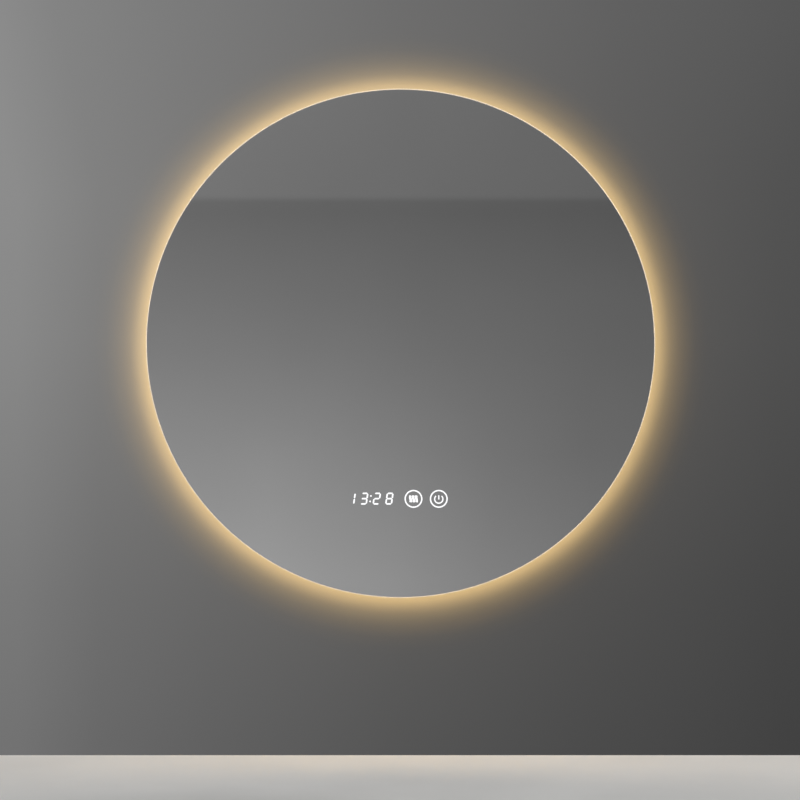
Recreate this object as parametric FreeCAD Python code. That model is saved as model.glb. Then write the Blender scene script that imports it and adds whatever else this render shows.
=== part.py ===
import FreeCAD, Part
import math
import os

from FreeCAD import Vector

# Round back-lit bathroom mirror with a clock and two touch keys, hung on a wall bar.
# Millimetres. +X is right and +Z is up as the mirror is looked at, and +Y points into the wall.
# The origin is on the wall, at the middle of the wall bar's row of screw slots.
# The wall is the plane y = 0, so everything in the mirror has a negative y.

overcut = 1.0                # how far a cutting body reaches past the face that it cuts

# ---- mirror glass
glass_diameter = 800.0
glass_thickness = 5.0
glass_arris = 0.8            # polished bevel on the front edge
glass_overhang = 33.5        # glass beyond the frame's lips, which hides the light

# ---- frame: an extruded double-flanged section rolled into a ring
frame_depth = 27.25
frame_wall = 1.6
channel_depth = 8.5          # light channel, from the lips' tips down to the web
bond_flange = 12.4           # front flange inside the web, which carries the glass
ledge_width = 10.4           # rear flange inside the web, which carries the panel
frame_joint_gap = 0.6        # butt joint of the rolled ring, at the top
splice_length = 62.0
splice_thickness = 2.0
splice_side_gap = 0.3        # splice plate to the frame's flanges
splice_seat_gap = 0.3        # splice plate to the web

# ---- adhesive pads between frame and glass
bond_thickness = 1.0
bond_pad_length = 40.0
bond_pad_width = 12.0
bond_pad_count = 16

# ---- light: strip, its chips and the opal cover
strip_width = 10.0
strip_thickness = 0.4
strip_glue = 0.3
strip_end_gap = 22.0         # between the strip's two ends, at the bottom
led_pitch = 33.3
led_length = 3.5
led_width = 2.8
led_height = 0.8
led_solder = 0.02
diffuser_thickness = 1.5
diffuser_setback = 0.4       # cover's outer face below the lips' tips
diffuser_end_gap = 1.0
strip_plug_length = 16.0
strip_plug_width = 8.0
strip_plug_height = 3.0

# ---- hook: two interlocking bars, one on the wall and one on the mirror
hang_depth = 180.0           # from the glass's top edge down to the wall bar's screws
bar_thickness = 2.5
hook_clearance = 0.25        # each side of a lip in its slot
hook_lip = 12.0              # height of the wall bar's lip above its step
hook_tip_clearance = 0.5     # below the mirror bar's lip
hook_lead_in = 1.0           # bevel on the lips' tips
bar_flange = 19.0            # height of the flat flange of either bar
wall_bar_length = 340.0
hanger_bar_length = 400.0
slot_spacing = 100.0
slot_count = 4
slot_width = 5.5
slot_length = 12.0
slot_height = 11.0           # from the flange's lower edge up to the slots

# ---- back panel
panel_thickness = 1.0
panel_inset = 8.0            # panel's edge inside the frame's lips
panel_screw_count = 6
panel_screw_first_angle = 0.0
vent_count = 9
vent_length = 4.0
vent_height = 30.0
vent_pitch = 14.0
vent_drop = 26.0             # from the driver's lower edge to the vents
bead_length = 150.0
bead_width = 16.0
bead_height = 1.8
bead_slope = 2.0
bead_inset = 123.5           # from the panel's edge to a bead's middle
bead_angles = (-158.0, -125.0, -55.0, -22.0)
bumper_radius = 10.0
bumper_tip_radius = 8.5
bumper_inset = 36.5          # from the panel's edge to a bumper's middle
bumper_angles = (-142.0, -38.0, 0.0, 180.0)

# ---- fasteners, which are prisms because they repeat and are small
shank_sides = 8
head_sides = 12
screw_shank = 2.8
screw_head = 7.0
screw_head_height = 1.9
screw_length = 7.0
screw_hole_clearance = 0.15  # round a screw's shank
rivet_shank = 3.2
rivet_head = 6.4
rivet_head_height = 1.0
rivet_length = 6.0
rivet_count = 3
rivet_spacing = 160.0
rivet_height = 11.0          # from the hanger bar's step up to its rivets
rivet_hole_clearance = 0.1

# ---- driver, which makes low voltage for the light, the clock and the heating film
driver_length = 170.0
driver_width = 46.0
driver_depth = 19.0
driver_wall = 1.6
driver_cover_thickness = 2.0
driver_tape_thickness = 1.0
driver_tape_length = 150.0
driver_tape_width = 36.0
driver_x = -45.0
driver_z = 60.0
driver_ledge_length = 7.0
lead_board_gap = 0.3         # leads to the board that they pass behind
board_thickness = 1.6
board_gap = 0.3              # board to the walls round it
transformer_length = 26.0
transformer_width = 22.0
transformer_height = 10.0
capacitor_radius = 5.0
capacitor_height = 10.0
capacitor_pitch = 14.0
capacitor_count = 2
capacitor_sides = 16

# ---- junction box for the house cable
box_gap = 42.0               # from the driver's end to the box
box_length = 74.0
box_width = 50.0
box_depth = 20.0
box_wall = 2.0
box_boss_width = 7.0
box_cover_margin = 4.0       # cover beyond the box, all round
box_cover_thickness = 1.2
terminal_length = 36.0
terminal_width = 16.0
terminal_height = 11.0
terminal_shift = 12.0        # from the box's middle towards the driver's level
terminal_pole_count = 3
terminal_pole_pitch = 11.0
terminal_screw_radius = 2.4
terminal_screw_rise = 1.0
terminal_slot_width = 5.0
terminal_slot_depth = 6.0
bush_bore_radius = 4.5
bush_neck_radius = 7.0
bush_flange_radius = 10.0
bush_flange_thickness = 2.0
bush_inner_length = 4.0
bush_neck_clearance = 0.1
bush_drop = 11.0              # below the box's middle
earth_stud_radius = 2.0
earth_stud_length = 12.0
earth_nut_across = 7.0
earth_nut_height = 3.2
earth_nut_clearance = 0.05
earth_tag_thickness = 1.0
earth_tag_width = 9.0
earth_rise = 30.0            # from the box up to the earth stud

# ---- low-voltage and mains leads: flat twin cable
lead_width = 5.0
lead_thickness = 2.0
lead_level = 5.0             # panel's inner face to the lead's near face
lead_bend = 18.0             # radius on the lead's centreline
lead_hole_clearance = 0.2
lead_inside = 5.5            # how far a lead reaches into a housing, from its outer face
lead_split = 9.0             # each output lead from the driver's middle line
mains_lead_drop = 14.0       # mains lead below the driver's middle line
strip_lead_run = 48.0        # from the driver's end to the strip lead's drop
control_lead_run = 24.0      # from the driver's end to the control lead's drop
strip_lead_low = 62.0        # strip lead's low run above the frame's web
clip_length = 8.0
clip_wall = 1.6
clip_lead_gap = 0.2
grommet_flange = 2.0
grommet_wall = 1.5
grommet_seat_gap = 0.3       # its flange to the curved web

# ---- control unit behind the glass: clock, two lit touch keys, their board and housing
control_rise = 155.0         # from the glass's lower edge up to the middle of the clock and keys
digit_middle_x = -47.2
demist_key_x = 20.5
power_key_x = 60.6
digit_pitch = 19.8
digit_width = 11.2
digit_height = 20.0
digit_stroke = 2.2
digit_slant = 8.0            # degrees off upright
digit_mitre_gap = 0.25
colon_dot = 2.0
colon_offset = 4.5
display_length = 84.0
display_width = 28.0
display_depth = 8.0
segment_height = 1.0
key_guide_width = 31.2
control_margin = 6.0         # housing beyond the display and the key guides
control_wall = 1.6
control_depth = 15.0
control_width = 40.0
control_ledge = 5.0
gasket_thickness = 1.0
gasket_window_gap = 0.5
socket_length = 14.0
socket_width = 9.0
socket_inset = 4.0
socket_height = 8.5
battery_radius = 8.0
battery_height = 3.0

# ---- heating film against mist
film_width = 460.0
film_height = 330.0
film_corner = 25.0
film_thickness = 0.5
film_z = 30.0
film_terminal_length = 16.0
film_terminal_width = 10.0
film_terminal_height = 4.0
film_terminal_inset = 4.0
film_lead_x = -13.0
film_lead_rise = 1.0         # film lead above the film

# ---- levels in depth, from the wall forward
hook_slot = bar_thickness + 2 * hook_clearance
hook_stack = hook_slot + bar_thickness + hook_clearance
y_panel_rear = -hook_stack
y_panel_front = y_panel_rear - panel_thickness
y_frame_rear = y_panel_front
y_frame_front = y_frame_rear - frame_depth
y_glass_rear = y_frame_front - bond_thickness
y_glass_front = y_glass_rear - glass_thickness
y_lead_rear = y_panel_front - lead_level
y_lead_front = y_lead_rear - lead_thickness
y_channel_rear = y_frame_rear - frame_wall
y_channel_front = y_frame_front + frame_wall
y_channel_middle = (y_channel_rear + y_channel_front) / 2

# ---- radii from the mirror's axis
glass_radius = glass_diameter / 2
hang_height = glass_radius - hang_depth
control_z = control_rise - glass_radius
lip_radius = glass_radius - glass_overhang
web_radius = lip_radius - channel_depth
web_inner_radius = web_radius - frame_wall
bond_inner_radius = web_inner_radius - bond_flange
ledge_inner_radius = web_inner_radius - ledge_width
panel_radius = lip_radius - panel_inset
panel_screw_circle = (ledge_inner_radius + web_inner_radius) / 2

# ---- the mirror's centre in the part's frame
centre_z = -hang_height
mirror_axis = Vector(0, -1, 0)   # angles about it run from +X to +Z, as seen from the front
mirror_centre = Vector(0, 0, centre_z)
into_mirror = Vector(0, -1, 0)
out_of_mirror = Vector(0, 1, 0)


def polar(radius, angle, y):
    """A point at this radius and angle from the mirror's centre, at depth y."""
    turn = math.radians(angle)
    return Vector(radius * math.cos(turn), y, centre_z + radius * math.sin(turn))


def block(x_low, x_high, y_low, y_high, z_low, z_high):
    """A box between two corners, with z measured from the mirror's centre."""
    corner = Vector(x_low, y_low, centre_z + z_low)
    return Part.makeBox(x_high - x_low, y_high - y_low, z_high - z_low, corner)


def block_on(x, z, length, width, y_low, y_high):
    """A box centred on x and z, with z measured from the mirror's centre."""
    return block(x - length / 2, x + length / 2, y_low, y_high, z - width / 2, z + width / 2)


def rod(x, z, radius, y_low, y_high):
    """A round bar along Y, with z measured from the mirror's centre."""
    return Part.makeCylinder(radius, y_high - y_low, Vector(x, y_low, centre_z + z), Vector(0, 1, 0))


def prism(base, outward, radius, height, sides):
    """A straight prism with its corners at a radius, for what is too small or too hidden to be round."""
    across = Vector(1, 0, 0)
    up = outward.cross(across)
    corners = []
    for index in range(sides):
        turn = 2 * math.pi * (index + 0.5) / sides
        corners.append(base + across * (radius * math.cos(turn)) + up * (radius * math.sin(turn)))
    return Part.Face(Part.makePolygon(corners + corners[:1])).extrude(outward * height)


def fastener_hole(seat, inward, shank_radius, clearance, length):
    """The hole for a fastener's shank, from its seat inward, with a clearance on every side."""
    radius = shank_radius + clearance / math.cos(math.pi / shank_sides)
    return prism(seat - inward, inward, radius, length + overcut, shank_sides)


def ring(profile, start=0.0, sweep=360.0):
    """Turns a closed outline of (radius, y) points about the mirror's axis."""
    corners = [Vector(radius, y, centre_z) for radius, y in profile]
    face = Part.Face(Part.makePolygon(corners + corners[:1]))
    turned = face.revolve(mirror_centre, mirror_axis, sweep)
    turned.rotate(mirror_centre, mirror_axis, start)
    return turned


def split_ring(profile, middle, gap):
    """A ring that is open by a gap, in mm at the profile's first radius, at one angle."""
    gap_angle = math.degrees(gap / profile[0][0])
    return ring(profile, middle + gap_angle / 2, 360.0 - gap_angle)


def fastener(seat, outward, head_radius, head_height, shank_radius, length):
    """A pan-head screw or rivet: its head stands on the seat, and its shank goes in behind it."""
    head = prism(seat, outward, head_radius, head_height, head_sides)
    shank = prism(seat, outward * -1, shank_radius, length, shank_sides)
    return head.fuse(shank).removeSplitter()


def stadium(x, z, length, width, y_low, y_high):
    """A slot-shaped block along X, with round ends."""
    half_run = (length - width) / 2
    radius = width / 2
    left, right, level = x - half_run, x + half_run, centre_z + z
    lower = Part.LineSegment(Vector(left, y_low, level - radius), Vector(right, y_low, level - radius))
    upper = Part.LineSegment(Vector(right, y_low, level + radius), Vector(left, y_low, level + radius))
    right_end = Part.Arc(
        Vector(right, y_low, level - radius),
        Vector(right + radius, y_low, level),
        Vector(right, y_low, level + radius),
    )
    left_end = Part.Arc(
        Vector(left, y_low, level + radius),
        Vector(left - radius, y_low, level),
        Vector(left, y_low, level - radius),
    )
    wire = Part.Wire([edge.toShape() for edge in (lower, right_end, upper, left_end)])
    return Part.Face(wire).extrude(Vector(0, y_high - y_low, 0))


def group(solids):
    return Part.makeCompound(solids)


# ---------------------------------------------------------------- glass and what is stuck to it


def mirror_glass():
    """The silvered disc, with a polished bevel on its front edge."""
    outline = [
        (0.0, y_glass_rear),
        (glass_radius, y_glass_rear),
        (glass_radius, y_glass_front + glass_arris),
        (glass_radius - glass_arris, y_glass_front),
        (0.0, y_glass_front),
    ]
    return ring(outline)


def glass_bond_pads():
    """Short adhesive strips that hold the glass to the frame's front flange."""
    middle = (bond_inner_radius + lip_radius) / 2
    pads = []
    for index in range(bond_pad_count):
        angle = 360.0 * (index + 0.5) / bond_pad_count
        pad = Part.makeBox(
            bond_pad_width,
            bond_thickness,
            bond_pad_length,
            Vector(middle - bond_pad_width / 2, y_glass_rear, centre_z - bond_pad_length / 2),
        )
        pad.rotate(mirror_centre, mirror_axis, angle)
        pads.append(pad)
    return group(pads)


def demist_film():
    """Heating film on the back of the glass, with rounded corners."""
    y_low, y_high = y_glass_rear, y_glass_rear + film_thickness
    sheet = block_on(0.0, film_z, film_width, film_height, y_low, y_high)
    upright = [edge for edge in sheet.Edges if abs(edge.tangentAt(edge.FirstParameter).y) > 0.9]
    return sheet.makeFillet(film_corner, upright)


def film_terminal_z():
    return film_z - film_height / 2 + film_terminal_inset + film_terminal_width / 2


def demist_terminal():
    """The block in which the film's lead is crimped."""
    y_low = y_glass_rear + film_thickness
    return block_on(
        film_lead_x, film_terminal_z(), film_terminal_length, film_terminal_width,
        y_low, y_low + film_terminal_height,
    )


# ---------------------------------------------------------------- frame


def frame_ring():
    """The rolled frame: a web with a flange each side of it at the front and at the back.

    The outer flanges are the light channel's lips. The front inner flange carries the glass,
    and the rear inner flange is the ledge that the back panel is screwed to.
    """
    outline = [
        (ledge_inner_radius, y_frame_rear),
        (lip_radius, y_frame_rear),
        (lip_radius, y_channel_rear),
        (web_radius, y_channel_rear),
        (web_radius, y_channel_front),
        (lip_radius, y_channel_front),
        (lip_radius, y_frame_front),
        (bond_inner_radius, y_frame_front),
        (bond_inner_radius, y_channel_front),
        (web_inner_radius, y_channel_front),
        (web_inner_radius, y_channel_rear),
        (ledge_inner_radius, y_channel_rear),
    ]
    frame = split_ring(outline, 90.0, frame_joint_gap)
    holes = [panel_screw_hole(seat) for seat in panel_screw_seats()]
    return frame.cut(holes + [grommet_opening()])


def splice_plate():
    """Curved plate behind the frame's butt joint."""
    outer = web_inner_radius - splice_seat_gap
    outline = [
        (outer, y_channel_rear - splice_side_gap),
        (outer, y_channel_front + splice_side_gap),
        (outer - splice_thickness, y_channel_front + splice_side_gap),
        (outer - splice_thickness, y_channel_rear - splice_side_gap),
    ]
    sweep = math.degrees(splice_length / outer)
    return ring(outline, 90.0 - sweep / 2, sweep)


# ---------------------------------------------------------------- light

strip_inner_radius = web_radius + strip_glue
strip_outer_radius = strip_inner_radius + strip_thickness


def led_strip():
    """Flexible board stuck round the web, with its ends apart at the bottom."""
    outline = [
        (strip_inner_radius, y_channel_middle + strip_width / 2),
        (strip_outer_radius, y_channel_middle + strip_width / 2),
        (strip_outer_radius, y_channel_middle - strip_width / 2),
        (strip_inner_radius, y_channel_middle - strip_width / 2),
    ]
    return split_ring(outline, -90.0, strip_end_gap)


def led_chips():
    """Square light chips soldered along the strip, at an even pitch."""
    base = strip_outer_radius + led_solder
    usable = 2 * math.pi * strip_outer_radius - strip_end_gap - 2 * led_length
    count = int(usable / led_pitch) + 1
    step = math.degrees(usable / (count - 1) / strip_outer_radius)
    first = -90.0 + math.degrees((strip_end_gap / 2 + led_length) / strip_outer_radius)
    chips = []
    for index in range(count):
        corner = Vector(base, y_channel_middle - led_width / 2, centre_z - led_length / 2)
        chip = Part.makeBox(led_height, led_width, led_length, corner)
        chip.rotate(mirror_centre, mirror_axis, first + index * step)
        chips.append(chip)
    return group(chips)


def light_diffuser():
    """Opal band pressed between the channel's lips."""
    outer = lip_radius - diffuser_setback
    outline = [
        (outer, y_channel_rear),
        (outer, y_channel_front),
        (outer - diffuser_thickness, y_channel_front),
        (outer - diffuser_thickness, y_channel_rear),
    ]
    return split_ring(outline, -90.0, diffuser_end_gap)


def strip_plug():
    """Connector between the strip's two ends, where the strip lead comes through the web."""
    base = web_radius + strip_glue
    middle = y_lead_front + lead_thickness / 2
    return block(
        -strip_plug_length / 2, strip_plug_length / 2,
        middle - strip_plug_width / 2, middle + strip_plug_width / 2,
        -base - strip_plug_height, -base,
    )


def grommet_opening():
    """Square hole through the web at the bottom for the grommet."""
    half_x = lead_width / 2 + lead_hole_clearance + grommet_wall
    return block(
        -half_x,
        half_x,
        y_lead_front - lead_hole_clearance - grommet_wall,
        y_lead_rear + lead_hole_clearance + grommet_wall,
        -web_radius - overcut,
        -web_inner_radius + overcut,
    )


def lead_grommet():
    """Rubber sleeve in the web with a flange inside the frame, and the lead's slot through it."""
    grip = 2 * (grommet_wall + lead_hole_clearance)
    length, depth = lead_width + grip, lead_thickness + grip
    y_middle = (y_lead_front + y_lead_rear) / 2
    inner_z = grommet_seat_gap - web_inner_radius
    sleeve = block(
        -length / 2, length / 2, y_middle - depth / 2, y_middle + depth / 2,
        -web_radius, inner_z + grommet_flange,
    )
    flange = block(
        -length / 2 - grommet_flange, length / 2 + grommet_flange,
        y_middle - depth / 2 - grommet_flange / 2, y_middle + depth / 2 + grommet_flange / 2,
        inner_z, inner_z + grommet_flange,
    )
    slot = block(
        -lead_width / 2 - lead_hole_clearance, lead_width / 2 + lead_hole_clearance,
        y_lead_front - lead_hole_clearance, y_lead_rear + lead_hole_clearance,
        -web_radius - overcut, inner_z + grommet_flange + overcut,
    )
    return sleeve.fuse(flange).cut(slot).removeSplitter()


# ---------------------------------------------------------------- hook


step_bottom = bar_flange - slot_height
step_top = step_bottom + bar_thickness
wall_lip_top = step_top + hook_lip


def bar_outline(lip_top):
    """Hook section as (distance from the flange's back, height from the screw line)."""
    return [
        (0.0, -slot_height),
        (0.0, step_top),
        (hook_slot, step_top),
        (hook_slot, lip_top - hook_lead_in),
        (hook_slot + hook_lead_in, lip_top),
        (hook_slot + bar_thickness, lip_top),
        (hook_slot + bar_thickness, step_bottom),
        (bar_thickness, step_bottom),
        (bar_thickness, -slot_height),
    ]


def bar(points, length):
    """Extrudes a section of (y, z) points in the part's frame along X, centred on the mirror."""
    corners = [Vector(-length / 2, y, z) for y, z in points]
    return Part.Face(Part.makePolygon(corners + corners[:1])).extrude(Vector(length, 0, 0))


def wall_bar():
    """The bar that is screwed to the wall, with its lip pointing up and a row of slots."""
    section = [(-depth, height) for depth, height in bar_outline(wall_lip_top)]
    slots = []
    for index in range(slot_count):
        x = (index - (slot_count - 1) / 2) * slot_spacing
        slots.append(stadium(x, hang_height, slot_length, slot_width, -2 * bar_thickness, bar_thickness))
    return bar(section, wall_bar_length).cut(slots)


def hanger_flange_base():
    """Height at which the mirror's bar rests: its step sits on the wall bar's lip."""
    return wall_lip_top + step_top


def hanger_bar():
    """The mirror's bar: the same section upside down, with a slightly shorter lip."""
    top = hanger_flange_base()
    lip_top = wall_lip_top - hook_tip_clearance
    section = [(depth - hook_stack, top - height) for depth, height in bar_outline(lip_top)]
    return bar(section, hanger_bar_length).cut(rivet_holes())


def rivet_places():
    """Where the mirror's bar is riveted to the panel, from the mirror's centre."""
    z = hang_height + wall_lip_top + rivet_height
    return [((index - (rivet_count - 1) / 2) * rivet_spacing, z) for index in range(rivet_count)]


def rivet_seats():
    return [Vector(x, bar_thickness - hook_stack, centre_z + z) for x, z in rivet_places()]


def rivet_holes():
    depth = bar_thickness + panel_thickness + overcut
    return [
        fastener_hole(seat, into_mirror, rivet_shank / 2, rivet_hole_clearance, depth)
        for seat in rivet_seats()
    ]


def hanger_rivets():
    return group([
        fastener(seat, out_of_mirror, rivet_head / 2, rivet_head_height, rivet_shank / 2, rivet_length)
        for seat in rivet_seats()
    ])


# ---------------------------------------------------------------- back panel


def panel_screw_seats():
    """Seats of the panel screws on the panel's rear face."""
    step = 360.0 / panel_screw_count
    return [
        polar(panel_screw_circle, panel_screw_first_angle + index * step, y_panel_rear)
        for index in range(panel_screw_count)
    ]


def panel_screw_hole(seat):
    """Hole for a panel screw through the panel and the frame's ledge."""
    depth = panel_thickness + frame_wall + overcut
    return fastener_hole(seat, into_mirror, screw_shank / 2, screw_hole_clearance, depth)


def vents():
    """A row of upright slots under the driver."""
    z = driver_z - driver_width / 2 - vent_drop - vent_height / 2
    slots = []
    for index in range(vent_count):
        x = driver_x + (index - (vent_count - 1) / 2) * vent_pitch
        slots.append(panel_cut(x, z, vent_length, vent_height))
    return slots


def panel_cut(x, z, length, width):
    """A rectangular hole through the panel."""
    return block_on(x, z, length, width, y_panel_front - overcut, y_panel_rear + overcut)


def bead(length, width, y_low, y_high):
    """A pressed stiffening bead along +X at the mirror's centre: sloping sides, narrower at the back."""
    def rectangle(half_length, half_width, y):
        corners = [
            Vector(-half_length, y, centre_z - half_width),
            Vector(half_length, y, centre_z - half_width),
            Vector(half_length, y, centre_z + half_width),
            Vector(-half_length, y, centre_z + half_width),
        ]
        return Part.makePolygon(corners + corners[:1])

    base = rectangle(length / 2, width / 2, y_low)
    crown = rectangle(length / 2 - bead_slope, width / 2 - bead_slope, y_high)
    return Part.makeLoft([base, crown], True, True)


def placed_beads(length, width, y_low, y_high):
    placed = []
    for angle in bead_angles:
        one = bead(length, width, y_low, y_high)
        one.translate(Vector(panel_radius - bead_inset, 0, 0))
        one.rotate(mirror_centre, mirror_axis, angle)
        placed.append(one)
    return placed


def back_panel():
    """Sheet-metal back with fastener holes, vents, the junction box's opening and pressed beads."""
    sheet = Part.makeCylinder(
        panel_radius, panel_thickness, Vector(0, y_panel_front, centre_z), Vector(0, 1, 0)
    )
    raised = placed_beads(bead_length, bead_width, y_panel_rear, y_panel_rear + bead_height)
    hollow = placed_beads(
        bead_length - 2 * panel_thickness, bead_width - 2 * panel_thickness,
        y_panel_front, y_panel_front + bead_height,
    )
    sheet = sheet.fuse(raised)
    openings = [panel_screw_hole(seat) for seat in panel_screw_seats()]
    openings += rivet_holes()
    openings += vents()
    openings.append(panel_cut(box_x, driver_z, box_length - 2 * box_wall, box_width - 2 * box_wall))
    return sheet.cut(hollow + openings).removeSplitter()


def panel_screws():
    return group([
        fastener(seat, out_of_mirror, screw_head / 2, screw_head_height, screw_shank / 2, screw_length)
        for seat in panel_screw_seats()
    ])


def wall_bumpers():
    """Rubber feet on the panel, as thick as the hook, that keep the mirror parallel to the wall."""
    feet = []
    for angle in bumper_angles:
        seat = polar(panel_radius - bumper_inset, angle, y_panel_rear)
        feet.append(Part.makeCone(bumper_radius, bumper_tip_radius, hook_stack, seat, Vector(0, 1, 0)))
    return group(feet)


# ---------------------------------------------------------------- driver

driver_left = driver_x - driver_length / 2
driver_right = driver_x + driver_length / 2
y_driver_rear = y_panel_front - driver_tape_thickness
y_driver_front = y_driver_rear - driver_depth
y_driver_floor = y_driver_rear - driver_wall
y_driver_board = y_lead_front - lead_board_gap


def driver_tape():
    return block_on(
        driver_x, driver_z, driver_tape_length, driver_tape_width, y_driver_rear, y_panel_front
    )


def lead_hole(x_low, x_high, z):
    """A slot for a flat lead that runs along X, at the leads' level."""
    half = lead_width / 2 + lead_hole_clearance
    return block(
        x_low, x_high,
        y_lead_front - lead_hole_clearance, y_lead_rear + lead_hole_clearance,
        z - half, z + half,
    )


def driver_case():
    """Open tray with a ledge at each end for the board and slots for the leads."""
    outer = block_on(driver_x, driver_z, driver_length, driver_width, y_driver_front, y_driver_rear)
    inner_length = driver_length - 2 * driver_wall
    inner_width = driver_width - 2 * driver_wall
    y_open = y_driver_front - overcut
    cavity = block_on(driver_x, driver_z, inner_length, inner_width, y_open, y_driver_floor)
    case = outer.cut(cavity)
    for side in (-1, 1):
        x = driver_x + side * (inner_length - driver_ledge_length) / 2
        ledge = block_on(x, driver_z, driver_ledge_length, inner_width, y_driver_board, y_driver_floor)
        case = case.fuse(ledge)
    reach = driver_wall + driver_ledge_length + overcut
    output_levels = (strip_lead_z(), control_lead_z())
    holes = [lead_hole(driver_left - overcut, driver_left + reach, z) for z in output_levels]
    holes.append(lead_hole(driver_right - reach, driver_right + overcut, mains_lead_z()))
    return case.cut(holes).removeSplitter()


def driver_cover():
    return block_on(
        driver_x, driver_z, driver_length, driver_width,
        y_driver_front - driver_cover_thickness, y_driver_front,
    )


def driver_board():
    length = driver_length - 2 * driver_wall - 2 * board_gap
    width = driver_width - 2 * driver_wall - 2 * board_gap
    return block_on(driver_x, driver_z, length, width, y_driver_board - board_thickness, y_driver_board)


def driver_transformer():
    """Core block of the transformer with its taller wound middle."""
    seat = y_driver_board - board_thickness
    core = block_on(
        driver_x, driver_z, transformer_length, transformer_width, seat - transformer_height / 2, seat
    )
    winding = block_on(
        driver_x, driver_z, transformer_length / 2, transformer_width, seat - transformer_height, seat
    )
    return core.fuse(winding).removeSplitter()


def driver_capacitors():
    seat = y_driver_board - board_thickness
    first = driver_x + transformer_length / 2 + capacitor_pitch
    return group([
        prism(
            Vector(first + index * capacitor_pitch, seat, centre_z + driver_z), into_mirror,
            capacitor_radius, capacitor_height, capacitor_sides,
        )
        for index in range(capacitor_count)
    ])


# ---------------------------------------------------------------- junction box

box_left = driver_right + box_gap
box_x = box_left + box_length / 2
y_box_front = y_panel_front - box_depth
y_box_floor = y_box_front + box_wall
y_cover_rear = y_panel_rear + box_cover_thickness


def boss_places():
    """Bosses for the cover's screws, on the box's long middle line, against its end walls."""
    reach = (box_length - box_boss_width) / 2 - box_wall
    return [(box_x - reach, driver_z), (box_x + reach, driver_z)]


def cover_screw_seats():
    return [Vector(x, y_cover_rear, centre_z + z) for x, z in boss_places()]


def cover_screw_holes():
    return [
        fastener_hole(seat, into_mirror, screw_shank / 2, screw_hole_clearance, screw_length + overcut)
        for seat in cover_screw_seats()
    ]


def junction_box():
    """Tray that opens to the back through the panel, with two screw bosses that reach the cover."""
    outer = block_on(box_x, driver_z, box_length, box_width, y_box_front, y_panel_front)
    cavity = block_on(
        box_x, driver_z, box_length - 2 * box_wall, box_width - 2 * box_wall,
        y_box_floor, y_panel_front + overcut,
    )
    tray = outer.cut(cavity)
    for x, z in boss_places():
        tray = tray.fuse(block_on(x, z, box_boss_width, box_boss_width, y_box_floor, y_panel_rear))
    holes = cover_screw_holes()
    holes.append(lead_hole(box_left - overcut, box_left + box_wall + overcut, mains_lead_z()))
    holes.append(earth_lead_hole())
    return tray.cut(holes).removeSplitter()


def box_cover():
    """Plate over the junction box, with the cable bush in it."""
    plate = block_on(
        box_x, driver_z, box_length + 2 * box_cover_margin, box_width + 2 * box_cover_margin,
        y_panel_rear, y_cover_rear,
    )
    x, z = bush_place()
    hole_radius = bush_neck_radius + bush_neck_clearance
    bush_hole = rod(x, z, hole_radius, y_panel_rear - overcut, y_cover_rear + overcut)
    return plate.cut(cover_screw_holes() + [bush_hole])


def box_cover_screws():
    return group([
        fastener(seat, out_of_mirror, screw_head / 2, screw_head_height, screw_shank / 2, screw_length)
        for seat in cover_screw_seats()
    ])


def bush_place():
    return box_x, driver_z - bush_drop


def cable_bush():
    """Soft bush that the house cable comes in through: a flange on the cover and a neck through it."""
    x, z = bush_place()
    inner_end = y_panel_rear - bush_inner_length
    outer_end = y_cover_rear + bush_flange_thickness
    flange = rod(x, z, bush_flange_radius, y_cover_rear, outer_end)
    neck = rod(x, z, bush_neck_radius, inner_end, y_cover_rear)
    bore = rod(x, z, bush_bore_radius, inner_end - overcut, outer_end + overcut)
    return flange.fuse(neck).cut(bore).removeSplitter()


terminal_z = driver_z + terminal_shift


def terminal_block():
    """Three-pole block on the box's floor, with a wire entry for each pole."""
    top = y_box_floor + terminal_height
    body = block_on(box_x, terminal_z, terminal_length, terminal_width, y_box_floor, top)
    wire_side = terminal_z - terminal_width / 2
    entries = []
    for x in terminal_pole_places():
        entries.append(block(
            x - terminal_slot_width / 2, x + terminal_slot_width / 2,
            y_box_floor + terminal_screw_rise, y_box_floor + terminal_screw_rise + terminal_slot_width,
            wire_side - overcut, wire_side + terminal_slot_depth,
        ))
    return body.cut(entries)


def terminal_pole_places():
    middle = (terminal_pole_count - 1) / 2
    return [box_x + (index - middle) * terminal_pole_pitch for index in range(terminal_pole_count)]


def terminal_screws():
    """Clamping screws that stand a little proud of the block."""
    top = y_box_floor + terminal_height
    return group([
        prism(
            Vector(x, top, centre_z + terminal_z), out_of_mirror,
            terminal_screw_radius, terminal_screw_rise, head_sides,
        )
        for x in terminal_pole_places()
    ])


earth_z = driver_z + box_width / 2 + earth_rise


def earth_stud():
    """Stud welded to the panel's inner face."""
    return prism(earth_stud_foot(), into_mirror, earth_stud_radius, earth_stud_length, shank_sides)


def earth_stud_foot():
    return Vector(box_x, y_panel_front, centre_z + earth_z)


def earth_stud_hole():
    """The stud's hole in its tag and nut."""
    return fastener_hole(
        earth_stud_foot(), into_mirror, earth_stud_radius, earth_nut_clearance, earth_stud_length
    )


def earth_nut():
    """Hexagon nut that clamps the earth tag."""
    seat = y_lead_front - earth_tag_thickness
    corner_radius = earth_nut_across / 2 / math.cos(math.radians(30.0))
    middle = Vector(box_x, seat, centre_z + earth_z)
    return prism(middle, into_mirror, corner_radius, earth_nut_height, 6).cut(earth_stud_hole())


def earth_lead_hole():
    """Slot in the box's upper wall for the earth lead."""
    half = lead_width / 2 + lead_hole_clearance
    top = driver_z + box_width / 2
    return block(
        box_x - half, box_x + half,
        y_lead_front - lead_hole_clearance, y_lead_rear + lead_hole_clearance,
        top - box_wall - overcut, top + overcut,
    )


# ---------------------------------------------------------------- leads


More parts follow.
